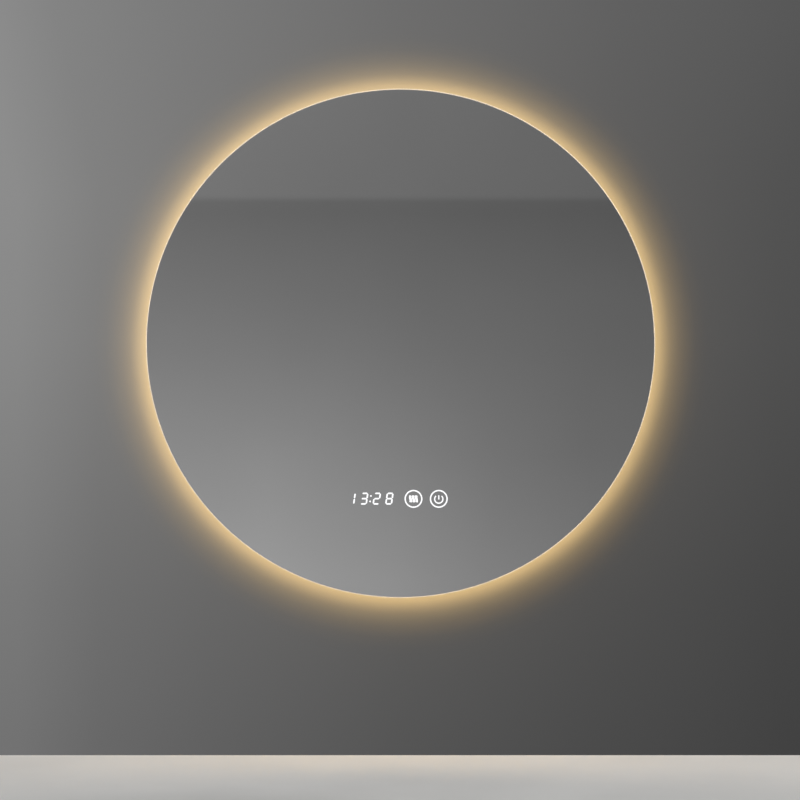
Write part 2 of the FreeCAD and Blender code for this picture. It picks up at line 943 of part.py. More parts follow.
def flat_lead(points, y_low):
    """Flat twin cable through (x, z) points: straight runs joined by tangent arcs, cut from one sheet."""
    def at(point):
        return Vector(point[0], y_low, centre_z + point[1])

    left, right = [lead_edge(points, side) for side in (lead_width / 2, -lead_width / 2)]
    outline = []
    for line in (left, right):
        for piece in line:
            if len(piece) == 2:
                outline.append(Part.LineSegment(at(piece[0]), at(piece[1])).toShape())
            else:
                outline.append(Part.Arc(at(piece[0]), at(piece[1]), at(piece[2])).toShape())
    outline.append(Part.LineSegment(at(left[0][0]), at(right[0][0])).toShape())
    outline.append(Part.LineSegment(at(left[-1][-1]), at(right[-1][-1])).toShape())
    wire = Part.Wire(Part.__sortEdges__(outline))
    return Part.Face(wire).extrude(Vector(0, lead_thickness, 0))


def lead_edge(points, side):
    """One edge of a flat lead, this far to the left of its route: lines of two points, arcs of three."""
    pieces = []
    last = offset_point(points[0], direction(points[0], points[1]), side)
    for before, corner, after in zip(points, points[1:], points[2:]):
        first, second = direction(before, corner), direction(corner, after)
        cross = first[0] * second[1] - first[1] * second[0]
        turn = abs(math.atan2(cross, first[0] * second[0] + first[1] * second[1]))
        reach = lead_bend * math.tan(turn / 2)
        inward = math.copysign(1.0, cross)
        entry = along(corner, first, -reach)
        start = offset_point(entry, first, side)
        end = offset_point(along(corner, second, reach), second, side)
        hub = offset_point(entry, first, inward * lead_bend)
        towards_corner = direction(hub, corner)
        through = along(hub, towards_corner, lead_bend - inward * side)
        pieces.append((last, start))
        pieces.append((start, through, end))
        last = end
    finish = offset_point(points[-1], direction(points[-2], points[-1]), side)
    pieces.append((last, finish))
    return pieces


def along(point, way, distance):
    return point[0] + way[0] * distance, point[1] + way[1] * distance


def direction(start, end):
    length = math.hypot(end[0] - start[0], end[1] - start[1])
    return (end[0] - start[0]) / length, (end[1] - start[1]) / length


def offset_point(point, way, side):
    """A point this far to the left of the way."""
    return point[0] - way[1] * side, point[1] + way[0] * side


def mains_lead_z():
    return driver_z - mains_lead_drop


def strip_lead_z():
    return driver_z + lead_split


def control_lead_z():
    return driver_z - lead_split


def mains_lead():
    """From the junction box into the driver."""
    start, end = box_left + lead_inside, driver_right - lead_inside
    return flat_lead([(start, mains_lead_z()), (end, mains_lead_z())], y_lead_front)


def strip_lead_points():
    run_x = driver_left - strip_lead_run
    low_z = -web_inner_radius + strip_lead_low
    return [
        (driver_left + lead_inside, strip_lead_z()),
        (run_x, strip_lead_z()),
        (run_x, low_z),
        (0.0, low_z),
        (0.0, -strip_inner_radius),
    ]


def strip_lead():
    """From the driver down the side, under the control unit and out through the web to the strip."""
    return flat_lead(strip_lead_points(), y_lead_front)


def control_lead_points():
    run_x = driver_left - control_lead_run
    return [
        (driver_left + lead_inside, control_lead_z()),
        (run_x, control_lead_z()),
        (run_x, control_z),
        (socket_x - socket_length / 2, control_z),
    ]


def control_lead():
    """From the driver to the socket on the control unit's back."""
    return flat_lead(control_lead_points(), y_lead_front)


def earth_lead():
    """From the terminal block up to the earth stud, with the tag crimped on its end."""
    start_z = driver_z + box_width / 2 - lead_inside
    cable = flat_lead([(box_x, start_z), (box_x, earth_z - earth_tag_width / 2)], y_lead_front)
    tag = block_on(
        box_x, earth_z, earth_tag_width, earth_tag_width,
        y_lead_front - earth_tag_thickness, y_lead_front,
    )
    barrel = block(
        box_x - lead_width / 2, box_x + lead_width / 2,
        y_lead_front - earth_tag_thickness, y_lead_front,
        earth_z - earth_tag_width, earth_z,
    )
    return cable.fuse([tag, barrel]).cut(earth_stud_hole()).removeSplitter()


def demist_lead():
    """From the control unit up to the heating film's terminal, along the glass."""
    y_low = y_glass_rear + film_thickness + film_lead_rise
    return flat_lead(
        [
            (film_lead_x, control_z + control_width / 2 - lead_inside),
            (film_lead_x, film_terminal_z() - film_terminal_width / 2),
        ],
        y_low,
    )


def lead_clips():
    """Saddles on the panel that hold the long leads at their level."""
    strip, control = strip_lead_points(), control_lead_points()
    upright = [
        (strip[1][0], (strip[1][1] + strip[2][1]) / 2 + 40.0),
        (strip[1][0], (strip[1][1] + strip[2][1]) / 2 - 80.0),
        (control[1][0], (control[1][1] + control[2][1]) / 2 - 20.0),
    ]
    level = [((strip[2][0] + strip[3][0]) / 2, strip[2][1])]
    return group([saddle(x, z, False) for x, z in upright] + [saddle(x, z, True) for x, z in level])


def saddle(x, z, along_x):
    """One clip: a block on the panel with a slot for the lead."""
    across = lead_width + 2 * (clip_wall + clip_lead_gap)
    top = y_lead_front - clip_wall - clip_lead_gap
    size = (clip_length, across) if along_x else (across, clip_length)
    gap = lead_width + 2 * clip_lead_gap
    slot_size = (clip_length + 2.0, gap) if along_x else (gap, clip_length + 2.0)
    body = block_on(x, z, size[0], size[1], top, y_panel_front)
    slot = block_on(
        x, z, slot_size[0], slot_size[1],
        y_lead_front - clip_lead_gap, y_lead_rear + clip_lead_gap,
    )
    return body.cut(slot)


# ---------------------------------------------------------------- control unit

control_left = digit_middle_x - display_length / 2 - control_margin
control_right = power_key_x + key_guide_width / 2 + control_margin
control_x = (control_left + control_right) / 2
control_length = control_right - control_left
y_control_front = y_glass_rear + gasket_thickness
y_control_rear = y_control_front + control_depth
y_control_floor = y_control_rear - control_wall
y_control_board = y_control_front + display_depth
socket_x = control_left + control_wall + socket_inset + socket_length / 2


def control_gasket():
    """Foam frame between the housing and the glass, with a window for the clock and one for each key."""
    sheet = block_on(
        control_x, control_z, control_length, control_width, y_glass_rear, y_control_front
    )
    windows = [gasket_window(digit_middle_x, display_length, display_width)]
    for x in (demist_key_x, power_key_x):
        windows.append(gasket_window(x, key_guide_width, key_guide_width))
    return sheet.cut(windows)


def gasket_window(x, length, width):
    """A window a little smaller than what shines through it."""
    margin = 2 * gasket_window_gap
    return block_on(
        x, control_z, length - margin, width - margin, y_glass_rear - overcut, y_control_front + overcut
    )


def control_housing():
    """Tray that opens towards the glass, with a ledge at each end for the board."""
    outer = block_on(
        control_x, control_z, control_length, control_width, y_control_front, y_control_rear
    )
    inner_length = control_length - 2 * control_wall
    inner_width = control_width - 2 * control_wall
    y_open = y_control_front - overcut
    cavity = block_on(control_x, control_z, inner_length, inner_width, y_open, y_control_floor)
    tray = outer.cut(cavity)
    ledge_front = y_control_board + board_thickness
    for side in (-1, 1):
        x = control_x + side * (inner_length - control_ledge) / 2
        ledge = block_on(x, control_z, control_ledge, inner_width, ledge_front, y_control_floor)
        tray = tray.fuse(ledge)
    half = lead_width / 2 + lead_hole_clearance
    y_low = y_glass_rear + film_thickness + film_lead_rise
    top = control_z + control_width / 2
    notch = block(
        film_lead_x - half, film_lead_x + half,
        y_low - lead_hole_clearance, y_low + lead_thickness + lead_hole_clearance,
        top - control_wall - overcut, top + overcut,
    )
    return tray.cut(notch).removeSplitter()


def control_board():
    length = control_length - 2 * control_wall - 2 * board_gap
    width = control_width - 2 * control_wall - 2 * board_gap
    y_high = y_control_board + board_thickness
    return block_on(control_x, control_z, length, width, y_control_board, y_high)


def segment_outline(start, end):
    """A display segment from start to end: a bar with a point at both ends, as (x, z) corners."""
    way = direction(start, end)
    half = digit_stroke / 2
    tip_a = along(start, way, digit_mitre_gap)
    tip_b = along(end, way, -digit_mitre_gap)
    near = along(tip_a, way, half)
    far = along(tip_b, way, -half)
    return [
        tip_a, offset_point(near, way, -half), offset_point(far, way, -half),
        tip_b, offset_point(far, way, half), offset_point(near, way, half),
    ]


def digit_segments():
    """Outlines of the seven segments of one digit, upright, about its own centre."""
    half_x = (digit_width - digit_stroke) / 2
    half_z = (digit_height - digit_stroke) / 2
    corners = {
        "top_left": (-half_x, half_z), "top_right": (half_x, half_z),
        "left": (-half_x, 0.0), "right": (half_x, 0.0),
        "low_left": (-half_x, -half_z), "low_right": (half_x, -half_z),
    }
    pairs = [
        ("top_left", "top_right"), ("right", "top_right"), ("low_right", "right"),
        ("low_left", "low_right"), ("low_left", "left"), ("left", "top_left"), ("left", "right"),
    ]
    return [segment_outline(corners[a], corners[b]) for a, b in pairs]


def slanted_prism(outline, x, y_low, y_high):
    """A prism from (x, z) corners about the digit's centre, leaning by the digits' slant."""
    lean = math.tan(math.radians(digit_slant))
    corners = [Vector(x + px + pz * lean, y_low, centre_z + control_z + pz) for px, pz in outline]
    return Part.Face(Part.makePolygon(corners + corners[:1])).extrude(Vector(0, y_high - y_low, 0))


def clock_segment_solids(y_low, y_high):
    """Four digits of seven segments, and the colon's two dots."""
    solids = []
    for index in range(4):
        x = digit_middle_x + (index - 1.5) * digit_pitch
        for outline in digit_segments():
            solids.append(slanted_prism(outline, x, y_low, y_high))
    half = colon_dot / 2
    for rise in (-colon_offset, colon_offset):
        dot = [(-half, rise - half), (half, rise - half), (half, rise + half), (-half, rise + half)]
        solids.append(slanted_prism(dot, digit_middle_x, y_low, y_high))
    return solids


def clock_display():
    """Display block, which ends one segment's height behind the gasket."""
    return block_on(
        digit_middle_x, control_z, display_length, display_width,
        y_control_front + segment_height, y_control_board,
    )


def clock_segments():
    """The segments' light bars, standing on the display's face."""
    return group(clock_segment_solids(y_control_front, y_control_front + segment_height))


def key_light_guide(x):
    return block_on(x, control_z, key_guide_width, key_guide_width, y_control_front, y_control_board)


def clock_battery():
    """Coin cell on the board's back, which keeps the time while the power is off."""
    seat = y_control_board + board_thickness
    return rod(control_x, control_z, battery_radius, seat, seat + battery_height)


def control_socket():
    """Socket on the housing's back that takes the control lead."""
    return block_on(
        socket_x, control_z, socket_length, socket_width, y_control_rear, y_control_rear + socket_height
    )


def demist_key_guide():
    return key_light_guide(demist_key_x)


def power_key_guide():
    return key_light_guide(power_key_x)


sub_parts = (
    wall_bar,
    mirror_glass, glass_bond_pads, demist_film, demist_terminal,
    frame_ring, splice_plate,
    led_strip, led_chips, light_diffuser, strip_plug, lead_grommet,
    back_panel, panel_screws, hanger_bar, hanger_rivets, wall_bumpers,
    driver_tape, driver_case, driver_cover, driver_board, driver_transformer, driver_capacitors,
    junction_box, box_cover, box_cover_screws, cable_bush, terminal_block, terminal_screws,
    earth_stud, earth_nut,
    mains_lead, strip_lead, control_lead, earth_lead, demist_lead, lead_clips,
    control_gasket, control_housing, control_board, clock_display, clock_segments,
    demist_key_guide, power_key_guide, clock_battery, control_socket,
)


def main():
    os.makedirs("parts", exist_ok=True)
    for make in sub_parts:
        make().exportStep(os.path.join("parts", make.__name__ + ".step"))


main()
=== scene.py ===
# Round bathroom mirror with a lit edge, a clock and two touch keys, hung on a plain wall.
import math
import bmesh
import bpy
from mathutils import Matrix, Vector


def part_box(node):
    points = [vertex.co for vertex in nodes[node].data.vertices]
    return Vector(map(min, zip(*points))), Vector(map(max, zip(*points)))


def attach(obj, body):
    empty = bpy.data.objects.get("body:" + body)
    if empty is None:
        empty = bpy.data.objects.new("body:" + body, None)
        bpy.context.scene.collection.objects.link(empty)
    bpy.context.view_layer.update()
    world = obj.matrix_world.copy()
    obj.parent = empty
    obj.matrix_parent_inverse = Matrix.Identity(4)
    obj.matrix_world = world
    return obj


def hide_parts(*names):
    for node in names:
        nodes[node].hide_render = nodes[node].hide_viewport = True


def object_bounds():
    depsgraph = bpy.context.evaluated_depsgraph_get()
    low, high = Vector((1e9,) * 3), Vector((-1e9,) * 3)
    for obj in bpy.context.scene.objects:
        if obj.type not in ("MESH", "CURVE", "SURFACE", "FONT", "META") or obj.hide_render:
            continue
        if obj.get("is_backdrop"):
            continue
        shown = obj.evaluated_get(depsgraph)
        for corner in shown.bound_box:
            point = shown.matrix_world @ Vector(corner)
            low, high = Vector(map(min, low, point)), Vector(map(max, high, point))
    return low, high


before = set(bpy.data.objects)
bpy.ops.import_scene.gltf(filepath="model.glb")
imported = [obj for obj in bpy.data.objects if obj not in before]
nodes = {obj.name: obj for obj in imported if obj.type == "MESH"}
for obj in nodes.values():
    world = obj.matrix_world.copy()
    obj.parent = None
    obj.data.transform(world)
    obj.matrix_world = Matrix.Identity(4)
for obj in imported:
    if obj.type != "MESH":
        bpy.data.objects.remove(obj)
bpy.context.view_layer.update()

scene = bpy.context.scene
mm = 0.001

glassLow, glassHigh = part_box("mirror_glass")
centre = (glassLow + glassHigh) / 2
glassRadius = (glassHigh.x - glassLow.x) / 2
toWall = Vector((0, 1, 0))
origin = Vector((0, 0, 0))


# helpers

def linear(hexColour):
    parts = [int(hexColour[i:i + 2], 16) / 255 for i in (1, 3, 5)]
    return [c / 12.92 if c <= 0.04045 else ((c + 0.055) / 1.055) ** 2.4 for c in parts] + [1.0]


def perMetre(sizeInMm):
    return 1000.0 / sizeInMm  # how often a pattern of that size repeats in a metre


def addNode(tree, kind, inputs=None, stops=None, **settings):
    # a shader node; a socket, or a node's first output, is linked to its input, any other value is set
    node = tree.nodes.new("ShaderNode" + kind)
    for name, value in settings.items():
        setattr(node, name, value)
    for place, value in (inputs or {}).items():
        if isinstance(value, bpy.types.Node):
            value = value.outputs[0]
        if isinstance(value, bpy.types.NodeSocket):
            tree.links.new(value, node.inputs[place])
        else:
            node.inputs[place].default_value = value
    if stops:
        elements = node.color_ramp.elements
        elements[0].position, elements[0].color = stops[0][0], linear(stops[0][1])
        elements[1].position, elements[1].color = stops[-1][0], linear(stops[-1][1])
        for position, colour in stops[1:-1]:
            elements.new(position).color = linear(colour)
    return node


def fromEnds(low, high):
    # the two values that a Map Range starts from
    return {"From Min": low, "From Max": high}


def startMaterial(name):
    # an empty material, its node tree, and the place on the object that its patterns follow
    material = bpy.data.materials.new(name)
    material.use_nodes = True
    tree = material.node_tree
    tree.nodes.clear()
    return material, tree, addNode(tree, "TexCoord").outputs["Object"]


def aroundAxis(tree, place):
    # the way from the mirror's middle to a place, and the distance of the place from the mirror's axis
    apart = addNode(tree, "VectorMath", {0: place, 1: centre}, operation="SUBTRACT")
    flat = addNode(tree, "VectorMath", {0: apart, 1: (1.0, 0.0, 1.0)}, operation="MULTIPLY")
    away = addNode(tree, "VectorMath", {0: flat}, operation="LENGTH")
    return apart, away.outputs["Value"]


def addSkin(tree, tone, matt=None, relief=None, more=None):
    # a surface from its patterns: tone is (pattern, stops), matt is (pattern, least and most roughness),
    # relief is (pattern, strength, height in metres), and more holds sockets that are the same all over
    sockets = {"Base Color": addNode(tree, "ValToRGB", {"Fac": tone[0]}, stops=tone[1])}
    if matt:
        pattern, least, most = matt
        sockets["Roughness"] = addNode(tree, "MapRange", {"Value": pattern, "To Min": least, "To Max": most})
    if relief:
        pattern, strength, deep = relief
        sockets["Normal"] = addNode(tree, "Bump", {"Height": pattern, "Strength": strength, "Distance": deep})
    skin = addNode(tree, "BsdfPrincipled", {**sockets, **(more or {})})
    addNode(tree, "OutputMaterial", {"Surface": skin})


def toMesh(bm, name):
    mesh = bpy.data.meshes.new(name)
    bm.to_mesh(mesh)
    bm.free()
    return mesh


def makePiece(name, bm, materials, body="mirror"):
    mesh = toMesh(bm, name)
    for material in materials:
        mesh.materials.append(material)
    piece = bpy.data.objects.new(name, mesh)
    scene.collection.objects.link(piece)
    if body:
        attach(piece, body)
    else:
        piece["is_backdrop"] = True
    return piece


def lathe(bm, middle, axis, profile, sides, finishes=None, smooth=()):
    # profile points are (radius, height along the axis); the line closes on itself
    axis = axis.normalized()
    across = axis.orthogonal().normalized()
    other = axis.cross(across)
    rings = []
    for radius, height in profile:
        foot = middle + axis * height
        if radius < 1e-7:  # a point on the axis itself
            rings.append([bm.verts.new(foot)])
            continue
        rings.append([
            bm.verts.new(foot + across * (radius * math.cos(turn)) + other * (radius * math.sin(turn)))
            for turn in (2 * math.pi * k / sides for k in range(sides))
        ])
    faces = []
    for i, ring in enumerate(rings):
        after = rings[(i + 1) % len(rings)]
        if len(ring) == 1 and len(after) == 1:
            continue
        for k in range(sides):
            n = (k + 1) % sides
            corners = [line[j % len(line)] for line, j in ((ring, k), (ring, n), (after, n), (after, k))]
            face = bm.faces.new(list(dict.fromkeys(corners)))
            face.material_index = finishes[i] if finishes else 0
            face.smooth = i in smooth
            faces.append(face)
    bmesh.ops.recalc_face_normals(bm, faces=faces)


def roundedCorner(centreRadius, centreHeight, radius, start, end, steps):
    # points of an arc in a lathe profile, angles in degrees from outwards to upwards
    turns = [math.radians(start + (end - start) * k / steps) for k in range(steps + 1)]
    return [(centreRadius + radius * math.cos(t), centreHeight + radius * math.sin(t)) for t in turns]


def stackOutlines(bm, layers, closed=True):
    # a shape through outlines of (x, z) points, each at its own depth; the first stays open unless closed
    rings = [[bm.verts.new((x, depth, z)) for x, z in outline] for outline, depth in layers]
    faces = [bm.faces.new(ring) for ring in (rings[::len(rings) - 1] if closed else rings[-1:])]
    for near, far in zip(rings, rings[1:]):
        for k in range(len(near)):
            n = (k + 1) % len(near)
            faces.append(bm.faces.new((near[k], near[n], far[n], far[k])))
    bmesh.ops.recalc_face_normals(bm, faces=faces)


def circleLine(x, z, radius, start=0.0, end=2 * math.pi, steps=96):
    closed = end - start > 6.28  # a whole turn
    return [(x + radius * math.cos(start + (end - start) * k / steps),
             z + radius * math.sin(start + (end - start) * k / steps)) for k in range(steps + (not closed))]


def ovalLine(x, z, length, width, turned=0.0, steps=12):
    # a slot with round ends, turned about its own middle
    run, radius = (length - width) / 2, width / 2
    points = []
    for side in (1, -1):
        for k in range(steps + 1):
            swing = math.pi * (k / steps - 0.5 * side)
            along, across = side * run + radius * math.cos(swing), radius * math.sin(swing)
            points.append((x + along * math.cos(turned) - across * math.sin(turned),
                           z + along * math.sin(turned) + across * math.cos(turned)))
    return points


def roundedBoxLine(x, z, length, width, radius, steps=6):
    points = []
    for corner, (right, up) in enumerate(((1, 1), (-1, 1), (-1, -1), (1, -1))):
        for k in range(steps + 1):
            swing = math.pi / 2 * (corner + k / steps)
            points.append((x + right * (length / 2 - radius) + radius * math.cos(swing),
                           z + up * (width / 2 - radius) + radius * math.sin(swing)))
    return points


# camera, level and as far off as the picture's perspective says

cameraValues = {"lens": 88.78, "place": (-0.0008, -3.14, -0.3092)}
cameraData = bpy.data.cameras.new("viewpoint")
cameraData.lens = cameraValues["lens"]
cameraData.sensor_width = 36.0
cameraObject = bpy.data.objects.new("viewpoint", cameraData)
cameraObject.location = cameraValues["place"]
cameraObject.rotation_euler = (math.radians(90), 0, 0)
scene.collection.objects.link(cameraObject)
scene.camera = cameraObject
scene.view_settings.view_transform = "Standard"
print("camera set")


# room: what the glass and the metals reflect, and the plain soft light

roomValues = {
    "ceilingLine": 0.102,       # height over distance at which the ceiling meets the far wall
    "slopes": (-0.15, 0.20),    # height over distance at the two ends of farWall's stops
    "reach": 0.2,               # sideways over distance at the ends of the stops across the room
    "lowPart": (0.58, 0.35),    # where on farWall's stops lowShade takes over from acrossShade
    "skyHeights": (-0.6, 0.8),  # how steeply a ray falls or rises at the ends of the pale stops
    "frontEdge": (0.80, 0.965),  # how straight a ray runs to the front where the far wall fades in
    "lightEdge": (0.10, 0.40),  # the same for the light from the front
    "frontLight": "#5a5a5a",    # soft light from in front of the mirror
    "sideLight": "#c4c4c4",
}
world = bpy.data.worlds.new("plainRoom")
scene.world = world
world.use_nodes = True
room = world.node_tree
room.nodes.clear()
lowest, highest = roomValues["slopes"]
axes = addNode(room, "SeparateXYZ", {"Vector": addNode(room, "TexCoord").outputs["Generated"]})
towards = addNode(room, "Math", {0: axes.outputs["Y"], 1: -1.0}, operation="MULTIPLY")
ahead = addNode(room, "Math", {0: towards, 1: 0.05}, operation="MAXIMUM")  # keeps the slopes finite
acrossSlope = addNode(room, "Math", {0: axes.outputs["X"], 1: ahead}, operation="DIVIDE")
upSlope = addNode(room, "Math", {0: axes.outputs["Z"], 1: ahead}, operation="DIVIDE")
upPlace = addNode(room, "MapRange", {"Value": upSlope, **fromEnds(lowest, highest)})
line = (roomValues["ceilingLine"] - lowest) / (highest - lowest)
farWall = addNode(room, "ValToRGB", {"Fac": upPlace}, stops=[
    (0.0, "#a5a5a5"), (0.17, "#a2a2a2"), (0.30, "#969696"), (0.50, "#818181"), (line - 0.02, "#6e6e6e"),
    (line - 0.004, "#6f6f6f"), (line + 0.004, "#7c7c7c"), (1.0, "#828282")])
acrossPlace = addNode(room, "MapRange", {
    "Value": acrossSlope, **fromEnds(-roomValues["reach"], roomValues["reach"])})
acrossShade = addNode(room, "ValToRGB", {"Fac": acrossPlace}, stops=[
    (0.0, "#ffffff"), (0.2, "#fcfcfc"), (0.5, "#e6e6e6"), (0.8, "#d0d0d0"), (1.0, "#c8c8c8")])
lowShade = addNode(room, "ValToRGB", {"Fac": acrossPlace}, stops=[
    (0.0, "#ffffff"), (0.33, "#fbfbfb"), (0.50, "#e8e8e8"), (0.62, "#d3d3d3"), (0.74, "#c2c2c2"),
    (1.0, "#b0b0b0")])
lowShare = addNode(room, "MapRange", {"Value": upPlace, **fromEnds(*roomValues["lowPart"])})
sideShade = addNode(room, "Mix", {0: lowShare, 6: acrossShade, 7: lowShade}, data_type="RGBA")
farShade = addNode(room, "Mix", {0: 1.0, 6: farWall, 7: sideShade.outputs[2]},
                   data_type="RGBA", blend_type="MULTIPLY")
height = addNode(room, "MapRange", {"Value": axes.outputs["Z"], **fromEnds(*roomValues["skyHeights"])})
paleRoom = addNode(room, "ValToRGB", {"Fac": height}, stops=[
    (0.0, "#c9c8c6"), (0.42, "#dcdcda"), (0.60, "#efefed"), (1.0, "#fafaf8")])
softRoom = addNode(room, "ValToRGB", {"Fac": height}, stops=[
    (0.0, "#8f8e8c"), (0.36, "#c2c1bf"), (0.50, "#dededc"), (0.75, "#f6f6f4"), (1.0, "#fefefc")])
inFront = addNode(room, "MapRange", {"Value": towards, **fromEnds(*roomValues["frontEdge"])},
                  interpolation_type="SMOOTHSTEP")
seenRoom = addNode(room, "Mix", {0: inFront, 6: softRoom, 7: farShade.outputs[2]}, data_type="RGBA")
frontShare = addNode(room, "MapRange", {"Value": towards, **fromEnds(*roomValues["lightEdge"])},
                     interpolation_type="SMOOTHSTEP")
softLight = addNode(room, "Mix", {0: frontShare, 6: linear(roomValues["sideLight"]),
                                  7: linear(roomValues["frontLight"])}, data_type="RGBA")
path = addNode(room, "LightPath")
mirrored = addNode(room, "Math", {0: path.outputs["Is Glossy Ray"], 1: path.outputs["Is Transmission Ray"]},
                   operation="MAXIMUM")
afterGloss = addNode(room, "Mix", {0: mirrored, 6: softLight.outputs[2], 7: seenRoom.outputs[2]},
                     data_type="RGBA")
roomColour = addNode(room, "Mix", {0: path.outputs["Is Camera Ray"], 6: afterGloss.outputs[2], 7: paleRoom},
                     data_type="RGBA")
roomGlow = addNode(room, "Background", {"Color": roomColour.outputs[2], "Strength": 1.0})
addNode(room, "OutputWorld", {"Surface": roomGlow})


# wall and floor of the stage

stageValues = {
    "floorHeight": -0.8746,
    "wallHalfWidth": 2.2,
    "wallTop": 1.5,
    "wallBehind": 0.0004,          # how far the wall lies behind the wall bar's back
    "floorFront": -2.3,
    "floorRear": 2.3,
    "glowReach": (0.005, 0.095),   # distances from the glass's edge at the ends of haloPaintedBase's stops
    "evenHeights": (0.02, 0.31),   # between these heights the light evens out from left to right
    "evenShare": 0.87,             # and above them paintedLightAcross is read this much nearer its middle
    "paintedLightWidth": 1.2,              # to each side, at the ends of paintedLightAcross's stops
    "paintedLightHeights": (-0.853, 0.298),   # heights at the ends of paintedLightUp's stops
    "roomLight": "#747474",        # how light the world's own soft light makes a white wall
    "floorFade": (1.3, 2.35),      # distances from the middle between which the floor fades out
}

# rolled emulsion with painted light: the wall glows of itself in a painted gradient of room light, lighter
# towards the left and the top, and is brightest round the mirror, where the band's light falls on a base colour
# painted lighter near the glass
wallWithPaintedLight, tree, place = startMaterial("mattWallWithPaintedLight")
glowStart, glowEnd = stageValues["glowReach"]
nearEdge = addNode(tree, "MapRange", {
    "Value": aroundAxis(tree, place)[1], **fromEnds(glassRadius + glowStart, glassRadius + glowEnd)})
# painted halo: the base colour is lighter near the glass's edge, so that the band's light on the wall seems to
# fall off faster
haloPaintedBase = addNode(tree, "ValToRGB", {"Fac": nearEdge}, stops=[
    (0.0, "#c8c8c8"), (0.07, "#c6c6c6"), (0.14, "#bfbfbf"), (0.28, "#a5a5a5"), (0.42, "#939393"),
    (0.57, "#7f7f7f"), (0.71, "#626262"), (0.89, "#464646"), (1.0, "#3c3c3c")])
sides = addNode(tree, "SeparateXYZ", {"Vector": place})
flatter = addNode(tree, "MapRange", {
    "Value": sides.outputs["Z"], **fromEnds(*stageValues["evenHeights"]),
    "To Min": 1.0, "To Max": stageValues["evenShare"]})
acrossPart = addNode(tree, "Math", {0: sides.outputs["X"], 1: flatter}, operation="MULTIPLY")
acrossWall = addNode(tree, "MapRange", {
    "Value": acrossPart, **fromEnds(-stageValues["paintedLightWidth"], stageValues["paintedLightWidth"])})
# painted room light across the wall, lighter towards the left
paintedLightAcross = addNode(tree, "ValToRGB", {"Fac": acrossWall}, stops=[
    (0.0, "#9b9b9b"), (0.12, "#969696"), (0.247, "#909090"), (0.30, "#848484"), (0.374, "#7b7b7b"),
    (0.5, "#6d6d6d"), (0.626, "#616161"), (0.70, "#5b5b5b"), (0.753, "#565656"), (0.88, "#515151"),
    (1.0, "#4e4e4e")])
upWall = addNode(tree, "MapRange", {"Value": sides.outputs["Z"], **fromEnds(*stageValues["paintedLightHeights"])})
# painted room light up the wall, lighter towards the top
paintedLightUp = addNode(tree, "ValToRGB", {"Fac": upWall}, stops=[
    (0.0, "#cdcdcd"), (0.2, "#d8d8d8"), (0.56, "#f2f2f2"), (1.0, "#ffffff")])
# the painted room light that the wall shows
paintedRoomLight = addNode(tree, "Mix", {0: 1.0, 6: paintedLightAcross, 7: paintedLightUp}, data_type="RGBA", blend_type="MULTIPLY")
roomShare = addNode(tree, "Mix", {0: 1.0, 6: haloPaintedBase, 7: linear(stageValues["roomLight"])},
                    data_type="RGBA", blend_type="MULTIPLY")
# painted glow of the wall: the painted room light less what the world's soft light already gives it
paintedWallGlow = addNode(tree, "Mix", {0: 1.0, 6: paintedRoomLight.outputs[2], 7: roomShare.outputs[2]},
                    data_type="RGBA", blend_type="SUBTRACT", clamp_result=True)
wallSkin = addNode(tree, "BsdfPrincipled", {
    "Base Color": haloPaintedBase, "Roughness": 0.9, "Specular IOR Level": 0.0,
    "Emission Color": paintedWallGlow.outputs[2], "Emission Strength": 1.0})
clear = addNode(tree, "BsdfTransparent")
facing = addNode(tree, "NewGeometry")
oneSided = addNode(tree, "MixShader", {0: facing.outputs["Backfacing"], 1: wallSkin, 2: clear})
addNode(tree, "OutputMaterial", {"Surface": oneSided})

# honed pale stone: even, with very faint clouds
floorPaint, tree, place = startMaterial("paleFloor")
clouds = addNode(tree, "TexNoise", {"Vector": place, "Scale": perMetre(300), "Detail": 4.0})
floorTone = addNode(tree, "ValToRGB", {"Fac": clouds}, stops=[(0.35, "#d3d2d0"), (0.65, "#dbdad8")])
floorSkin = addNode(tree, "BsdfPrincipled", {
    "Base Color": floorTone, "Roughness": 0.6, "Specular IOR Level": 0.2})
fromMiddle = addNode(tree, "VectorMath", {0: place}, operation="LENGTH")
fading = addNode(tree, "MapRange", {
    "Value": fromMiddle.outputs["Value"], **fromEnds(*stageValues["floorFade"])},
    interpolation_type="SMOOTHSTEP")
nothing = addNode(tree, "BsdfTransparent")
faded = addNode(tree, "MixShader", {0: fading, 1: floorSkin, 2: nothing})
addNode(tree, "OutputMaterial", {"Surface": faded})


def stagePlane(name, corners, material):
    bm = bmesh.new()
    bm.faces.new([bm.verts.new(corner) for corner in corners])
    plane = makePiece(name, bm, [material], body=None)
    plane.visible_diffuse = False
    return plane


wide, ground, top, back, front, rear = (stageValues[k] for k in (
    "wallHalfWidth", "floorHeight", "wallTop", "wallBehind", "floorFront", "floorRear"))
wall = stagePlane("wall", (
    (-wide, back, ground), (wide, back, ground), (wide, back, top), (-wide, back, top)), wallWithPaintedLight)
wall.visible_glossy = False
wall.visible_shadow = False
stagePlane("floor", (
    (-wide, front, ground), (wide, front, ground), (wide, rear, ground), (-wide, rear, ground)), floorPaint)
print("room, wall and floor made")


# materials of the front

# low-iron float glass: clear, without the usual green
floatGlass, tree, place = startMaterial("floatGlass")
melt = addNode(tree, "TexNoise", {"Vector": place, "Scale": perMetre(150), "Detail": 1.0})
glassTint = addNode(tree, "ValToRGB", {"Fac": melt}, stops=[(0.3, "#fefefe"), (0.7, "#ffffff")])
glassSkin = addNode(tree, "BsdfGlass", {"Color": glassTint, "Roughness": 0.0, "IOR": 1.52})
addNode(tree, "OutputMaterial", {"Surface": glassSkin})

# wet-silvered back of the glass: a clean, neutral mirror
silverCoat, tree, place = startMaterial("silverCoat")
drift = addNode(tree, "TexNoise", {"Vector": place, "Scale": perMetre(220), "Detail": 1.0})
addSkin(tree, (drift, [(0.3, "#f6f6f6"), (0.7, "#f8f8f8")]), more={"Metallic": 1.0, "Roughness": 0.0})
